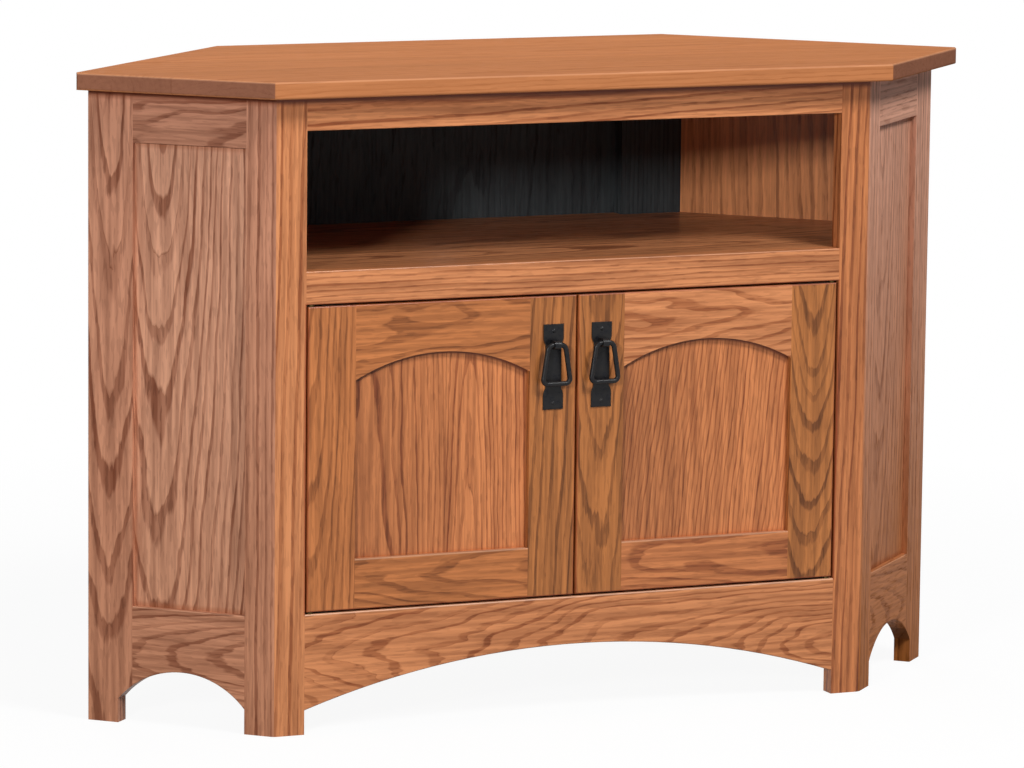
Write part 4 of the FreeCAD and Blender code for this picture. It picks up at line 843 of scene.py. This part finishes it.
@dataclass(frozen=True)
class MetalFinish:
    """A metal or moulded part: its two colours, its gloss and its skin."""

    name: str
    colour: Triple
    blotch_colour: Triple
    gloss: float
    blotch_size: float
    metallic: float = 0.0
    brush: float = 0.0
    relief: float = 0.2
    specular: float = 0.5

    def material(self, skin: bpy.types.NodeTree) -> bpy.types.Material:
        """Make the finish's material.

        Args:
            skin: the shared group of metal skins.

        Returns:
            The finished material.
        """
        material, nodes, shader = new_material(self.name)
        place = nodes.add("ShaderNodeTexCoord").outputs["Object"]
        group = nodes.group(skin, {"Vector": place, "Blotch Size": self.blotch_size, "Brush": self.brush,
                                   "Gloss": self.gloss})
        colour = nodes.blend(group.outputs["Blotches"], (*self.colour, 1.0), (*self.blotch_colour, 1.0))
        nodes.feed(shader.inputs["Base Color"], colour)
        nodes.feed(shader.inputs["Roughness"], group.outputs["Roughness"])
        nodes.feed(shader.inputs["Normal"], nodes.relief(group.outputs["Height"], self.relief, METAL_DEPTH))
        shader.inputs["Metallic"].default_value = self.metallic
        shader.inputs["Specular IOR Level"].default_value = self.specular
        return material


BLACK_IRON = MetalFinish("black_iron", (0.006, 0.006, 0.008), (0.012, 0.011, 0.011), gloss=0.22,
                         blotch_size=0.006, relief=0.35, specular=0.21)
PLATED_STEEL = MetalFinish("plated_steel", (0.42, 0.4, 0.36), (0.3, 0.29, 0.27), gloss=0.36,
                           blotch_size=0.004, metallic=1.0, brush=0.8)
SCREW_STEEL = MetalFinish("screw_steel", (0.4, 0.38, 0.35), (0.28, 0.27, 0.25), gloss=0.36,
                          blotch_size=0.002, metallic=1.0)
WASHER_BRASS = MetalFinish("washer_brass", (0.1, 0.065, 0.025), (0.07, 0.045, 0.018), gloss=0.6,
                           blotch_size=0.003, metallic=1.0, brush=0.4)
CATCH_PLASTIC = MetalFinish("catch_plastic", (0.05, 0.026, 0.014), (0.06, 0.032, 0.018), gloss=0.5,
                            blotch_size=0.003, relief=0.15)


def groove_shade_of(panel: str, grip: float, strength: float) -> Seam:
    """A darker band painted where a panel goes into its groove: painted shade of that recess."""
    return Seam((panel,), GROOVE_SHADE_BROWN, EDGE_LINE, inset=grip, strength=strength)


def ledge_highlight_of(panel: str, grip: float, strength: float) -> Seam:
    """A painted highlight along the rail's ledge below a panel, where its edge would catch the light."""
    return Seam((panel,), PAINTED_HIGHLIGHT, LEDGE_LINE, inset=grip, outside=True, strength=strength)


DOORWAY = tuple(f"{hand}_door_{stile}_stile" for hand in ("left", "right") for stile in ("hinge", "lock"))
# Painted shade on the frame's faces along the door gaps.
DOORWAY_GAP_SHADE = Seam(DOORWAY, GAP_SHADE_BROWN, GAP_LINE, inset=-DOOR_GAP, outside=True)
# A painted highlight on the bottom rail's edge along the doorway.
DOORWAY_HIGHLIGHT = replace(DOORWAY_GAP_SHADE, colour=PAINTED_HIGHLIGHT, strength=0.6)
# A painted shadow on the frame and the left side just under the top's overhang.
SHADOW_UNDER_TOP = Seam(("top_board",), SHADE_BROWN, width=0.012, outside=True, strength=1.5)


@dataclass(frozen=True)
class Carcass:
    """The fixed cabinet: top, face frame, canted sides, back, decks and what holds them."""

    front: tuple[Board, ...] = (
        Board("top_board", Lie.TOP, TOP_STAIN, TOP_CUT, seed=3),
        Board("left_front_stile", Lie.FRONT_UPRIGHT, FRAME_STAIN, COARSE, seed=11, seams=(DOORWAY_GAP_SHADE, SHADOW_UNDER_TOP)),
        Board("right_front_stile", Lie.FRONT_UPRIGHT, PANEL_STAIN, COARSE, seed=12, seams=(DOORWAY_GAP_SHADE, SHADOW_UNDER_TOP)),
        Board("front_top_rail", Lie.FRONT_RAIL, FRAME_STAIN, TOP_RAIL_CUT, seed=13, seams=(SHADOW_UNDER_TOP,)),
        Board("middle_rail", Lie.FRONT_RAIL, FRAME_STAIN, MIDDLE_RAIL_CUT, seed=14, seams=(DOORWAY_GAP_SHADE,)),
        Board("bottom_rail", Lie.FRONT_RAIL, FRAME_STAIN, BOTTOM_RAIL_CUT, seed=15, seams=(DOORWAY_HIGHLIGHT,)),
    )
    left: tuple[Board, ...] = (
        Board("left_side_front_stile", Lie.LEFT_UPRIGHT, LEFT_CORNER_STAIN, SIDE_RIFT, seed=21, seams=(SHADOW_UNDER_TOP,)),
        Board("left_side_back_stile", Lie.LEFT_UPRIGHT, LEFT_STAIN, SIDE_FLAT, seed=22, seams=(SHADOW_UNDER_TOP,)),
        Board("left_side_top_rail", Lie.LEFT_RAIL, LEFT_CORNER_STAIN, WAVY, seed=23, seams=(SHADOW_UNDER_TOP,)),
        Board("left_side_bottom_rail", Lie.LEFT_RAIL, LEFT_CORNER_STAIN, CHEVRONS, seed=24),
        Board("left_side_panel", Lie.LEFT_UPRIGHT, LEFT_PANEL_STAIN, SIDE_PANEL, seed=25,
              seams=(groove_shade_of("left_side_panel", SIDE_GRIP, strength=0.35),)),
    )
    right: tuple[Board, ...] = (
        Board("right_side_front_stile", Lie.RIGHT_UPRIGHT, RIGHT_STAIN, SIDE_RIFT, seed=31),
        Board("right_side_back_stile", Lie.RIGHT_UPRIGHT, RIGHT_STAIN, SIDE_RIFT, seed=32),
        Board("right_side_top_rail", Lie.RIGHT_RAIL, RIGHT_STAIN, RIFT, seed=33),
        Board("right_side_bottom_rail", Lie.RIGHT_RAIL, RIGHT_STAIN, CHEVRONS, seed=34,
              seams=(ledge_highlight_of("right_side_panel", SIDE_GRIP, strength=0.45),)),
        Board("right_side_panel", Lie.RIGHT_UPRIGHT, RIGHT_STAIN, SIDE_PANEL, seed=35,
              seams=(groove_shade_of("right_side_panel", SIDE_GRIP, strength=0.35),)),
    )
    back: tuple[Board, ...] = (
        Board("back_left_panel", Lie.LEFT_WALL, WALL_STAIN, WALL_CUT, seed=41),
        Board("back_center_panel", Lie.BACK_UPRIGHT, BAY_SHADOW_STAIN, PANEL, seed=42),
        Board("back_right_panel", Lie.RIGHT_WALL, WALL_STAIN, WALL_CUT, seed=43),
        Board("left_rear_post", Lie.BACK_UPRIGHT, BAY_SHADOW_STAIN, RIFT, seed=44),
        Board("right_rear_post", Lie.BACK_UPRIGHT, BAY_SHADOW_STAIN, RIFT, seed=45),
        Board("rear_rails", Lie.FRONT_RAIL, BAY_SHADOW_STAIN, RIFT, seed=46),
    )
    inside: tuple[Board, ...] = (
        Board("bottom_deck", Lie.TOP, INSIDE_STAIN, PANEL, seed=47),
        Board("shelf_deck", Lie.TOP, INSIDE_STAIN, PANEL, seed=48),
        Board("deck_cleats", Lie.FRONT_RAIL, INSIDE_STAIN, RIFT, seed=49),
        Board("top_cleats", Lie.FRONT_RAIL, INSIDE_STAIN, RIFT, seed=50),
        Board("catch_block", Lie.FRONT_RAIL, INSIDE_STAIN, RIFT, seed=51),
        Board("adjustable_shelf", Lie.TOP, INSIDE_STAIN, PANEL, seed=52),
    )

    def build(self, nodes: dict[str, bpy.types.Object], shop: OakShop) -> None:
        """Dress every board of the carcass."""
        shop.dress(self.front + self.left + self.right + self.back + self.inside, nodes)


@dataclass(frozen=True)
class Door:
    """One arched panel door: two stiles, two rails and a flat panel, each with its stain and cut."""

    hand: str
    seed: int
    hinge_stile: tuple[Stain, Cut]
    lock_stile: tuple[Stain, Cut]
    top_rail: tuple[Stain, Cut]
    bottom_rail: tuple[Stain, Cut]
    panel: tuple[Stain, Cut]

    def boards(self) -> tuple[Board, ...]:
        """List the door's boards.

        Returns:
            The two stiles, the two rails and the panel.
        """
        name, upright, rail = self.hand + "_door_", Lie.FRONT_UPRIGHT, Lie.FRONT_RAIL
        panel = name + "panel"
        # Painted shade on the door's own faces along its gaps.
        outline = Seam((name + "hinge_stile", name + "lock_stile"), GAP_SHADE_BROWN, GAP_LINE)
        return (
            Board(name + "hinge_stile", upright, *self.hinge_stile, self.seed, (outline,)),
            Board(name + "lock_stile", upright, *self.lock_stile, self.seed + 1, (outline,)),
            Board(name + "top_rail", rail, *self.top_rail, self.seed + 12, (outline,)),
            Board(name + "bottom_rail", rail, *self.bottom_rail, self.seed + 3,
                  (outline, ledge_highlight_of(panel, DOOR_GRIP, strength=0.5))),
            Board(panel, upright, *self.panel, self.seed + 4, (groove_shade_of(panel, DOOR_GRIP, strength=0.4),), Arch()),
        )

    def build(self, nodes: dict[str, bpy.types.Object], shop: OakShop) -> None:
        """Dress every board of the door."""
        shop.dress(self.boards(), nodes)


LEFT_DOOR = Door("left", seed=61, hinge_stile=(DOOR_STAIN, SLANTED), lock_stile=(OLIVE_STAIN, LOCK_STILE),
                 top_rail=(DOOR_STAIN, WAVY), bottom_rail=(DOOR_STAIN, CALM), panel=(PANEL_STAIN, DOOR_PANEL))
RIGHT_DOOR = Door("right", seed=71, hinge_stile=(OLIVE_STAIN, BOWED), lock_stile=(OLIVE_STAIN, FLAT),
                  top_rail=(FRAME_STAIN, WAVY), bottom_rail=(PANEL_STAIN, CALM),
                  panel=(PANEL_STAIN, LEANING_PANEL))


@dataclass(frozen=True)
class Hardware:
    """Pulls, hinges, catches, pins and screws, by their CAD nodes."""

    finishes: tuple[tuple[MetalFinish, tuple[str, ...]], ...] = (
        (BLACK_IRON, ("left_pull_plate", "left_pull_knuckle", "left_pull_nails", "left_pull_bail",
                      "right_pull_plate", "right_pull_knuckle", "right_pull_nails", "right_pull_bail")),
        (PLATED_STEEL, ("hinge_frame_leaves", "left_door_hinge_leaves", "right_door_hinge_leaves",
                        "left_door_strike", "right_door_strike", "shelf_pins")),
        (SCREW_STEEL, ("hinge_frame_screws", "left_door_screws", "right_door_screws", "catch_screws",
                       "cleat_screws", "back_screws")),
        (WASHER_BRASS, ("hinge_washers",)),
        (CATCH_PLASTIC, ("magnetic_catches",)),
    )

    def build(self, nodes: dict[str, bpy.types.Object]) -> None:
        """Dress every metal and moulded part.

        Args:
            nodes: the CAD nodes by name.
        """
        skin = metal_skin_group()
        for finish, names in self.finishes:
            material = finish.material(skin)
            for name in names:
                dress(nodes[name], material)
                log.info("%s: %s", name, finish.name)


@dataclass(frozen=True)
class Lamp:
    """A square soft box: where it stands, what it lights, its size and its power."""

    name: str
    place: Triple
    aim: Triple
    size: float
    power: float

    def build(self) -> None:
        """Put the lamp in the scene, turned to its aim."""
        data = bpy.data.lights.new(self.name, "AREA")
        data.size, data.energy = self.size, self.power
        lamp = bpy.data.objects.new(self.name, data)
        lamp.location = self.place
        lamp.rotation_euler = (Vector(self.aim) - Vector(self.place)).to_track_quat("-Z", "Y").to_euler()
        lamp.visible_camera = False
        bpy.context.scene.collection.objects.link(lamp)


@dataclass(frozen=True)
class Studio:
    """The white floor, the lamps, the world and the camera."""

    lamps: tuple[Lamp, ...] = (
        Lamp("low_left_box", place=(-2.6, -2.9, 1.48), aim=(0.0, 0.0, 0.4), size=0.4, power=75.0),
        Lamp("high_right_box", place=(0.97, -2.66, 3.23), aim=(0.0, 0.0, 0.4), size=1.0, power=116.0),
        Lamp("top_box", place=(0.0, 0.15, 3.05), aim=(0.0, 0.0, 0.75), size=1.4, power=14.0),
        Lamp("back_box", place=(0.0, 3.5, 2.2), aim=(0.0, 0.0, 0.4), size=1.0, power=18.0),
    )
    world_light: float = 0.05
    shade_tint: tuple[float, ...] = (0.75, 0.87, 1.0, 1.0)
    floor_grey: tuple[float, ...] = (0.35, 0.35, 0.35, 1.0)
    floor_glow: float = 0.93
    shadow_reach: tuple[float, float] = (0.8, 1.8)
    floor_size: float = 60.0
    eye: Triple = (-2.6151, -6.0735, 1.3541)
    yaw: float = 23.302
    pitch: float = 8.544
    roll: float = 0.623
    focal_pixels: float = 5648.5
    frame_pixels: float = 1024.0
    sensor_width: float = 36.0
    sight: float = 100.0

    def build(self) -> None:
        """Build the whole studio."""
        self.lay_floor()
        self.light_world()
        for lamp in self.lamps:
            lamp.build()
        self.stand_camera()

    def lay_floor(self) -> None:
        """Lay a wide white floor that stays white to the camera and keeps a soft shadow."""
        form = bmesh.new()
        bmesh.ops.create_grid(form, x_segments=1, y_segments=1, size=self.floor_size / 2)
        mesh = bpy.data.meshes.new("floor")
        form.to_mesh(mesh)
        form.free()
        floor = bpy.data.objects.new("floor", mesh)
        bpy.context.scene.collection.objects.link(floor)
        material, nodes, _ = new_material("white_floor")
        nodes.tree.nodes.clear()
        matt, glow = nodes.add("ShaderNodeBsdfDiffuse"), nodes.add("ShaderNodeEmission")
        seen = nodes.seen()
        nodes.feed(matt.inputs["Color"], nodes.blend(seen, self.floor_grey, WHITE))
        away = nodes.vector("LENGTH", nodes.add("ShaderNodeTexCoord").outputs["Object"], output="Value")
        share = nodes.remap(away, *self.shadow_reach, self.floor_glow, 1.0)
        mix = nodes.fit("ShaderNodeMixShader", (nodes.math("MULTIPLY", seen, share), matt.outputs[0],
                                                glow.outputs[0]))
        nodes.fit("ShaderNodeOutputMaterial", (mix.outputs[0],))
        dress(floor, material)

    def light_world(self) -> None:
        """Light the scene evenly from all round, white where the camera, gloss or glass looks."""
        world = bpy.data.worlds.new("studio")
        bpy.context.scene.world = world
        world.use_nodes = True
        world.node_tree.nodes.clear()
        nodes = Nodes(world.node_tree)
        seen = nodes.seen()
        sky = nodes.fit("ShaderNodeBackground", (nodes.blend(seen, self.shade_tint, WHITE),
                                                 nodes.remap(seen, 0.0, 1.0, self.world_light, 1.0)))
        nodes.fit("ShaderNodeOutputWorld", (sky.outputs[0],))

    def stand_camera(self) -> None:
        """Stand the camera where the photograph was taken from."""
        yaw, pitch, roll = (math.radians(angle) for angle in (self.yaw, self.pitch, self.roll))
        ahead = Vector((math.sin(yaw) * math.cos(pitch), math.cos(yaw) * math.cos(pitch), -math.sin(pitch)))
        level = Vector((math.cos(yaw), -math.sin(yaw), 0.0))
        upright = level.cross(ahead)
        side = level * math.cos(roll) + upright * math.sin(roll)
        rise = upright * math.cos(roll) - level * math.sin(roll)
        data = bpy.data.cameras.new("camera")
        data.sensor_width = self.sensor_width
        data.lens = self.focal_pixels * self.sensor_width / self.frame_pixels
        data.clip_end = self.sight
        camera = bpy.data.objects.new("camera", data)
        turn = Matrix((side, rise, -ahead)).transposed().to_4x4()
        camera.matrix_world = Matrix.Translation(Vector(self.eye)) @ turn
        bpy.context.scene.collection.objects.link(camera)
        bpy.context.scene.camera = camera


def main() -> None:
    """Load the cabinet, dress every piece and build the studio."""
    logging.basicConfig(level=logging.INFO, format="%(name)s: %(message)s")
    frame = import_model()
    nodes = frame["nodes"]
    shop = OakShop()
    Carcass().build(nodes, shop)
    LEFT_DOOR.build(nodes, shop)
    RIGHT_DOOR.build(nodes, shop)
    Hardware().build(nodes)
    Studio().build()
    bpy.context.scene.view_settings.view_transform = "Standard"


if __name__ == "__main__":
    main()
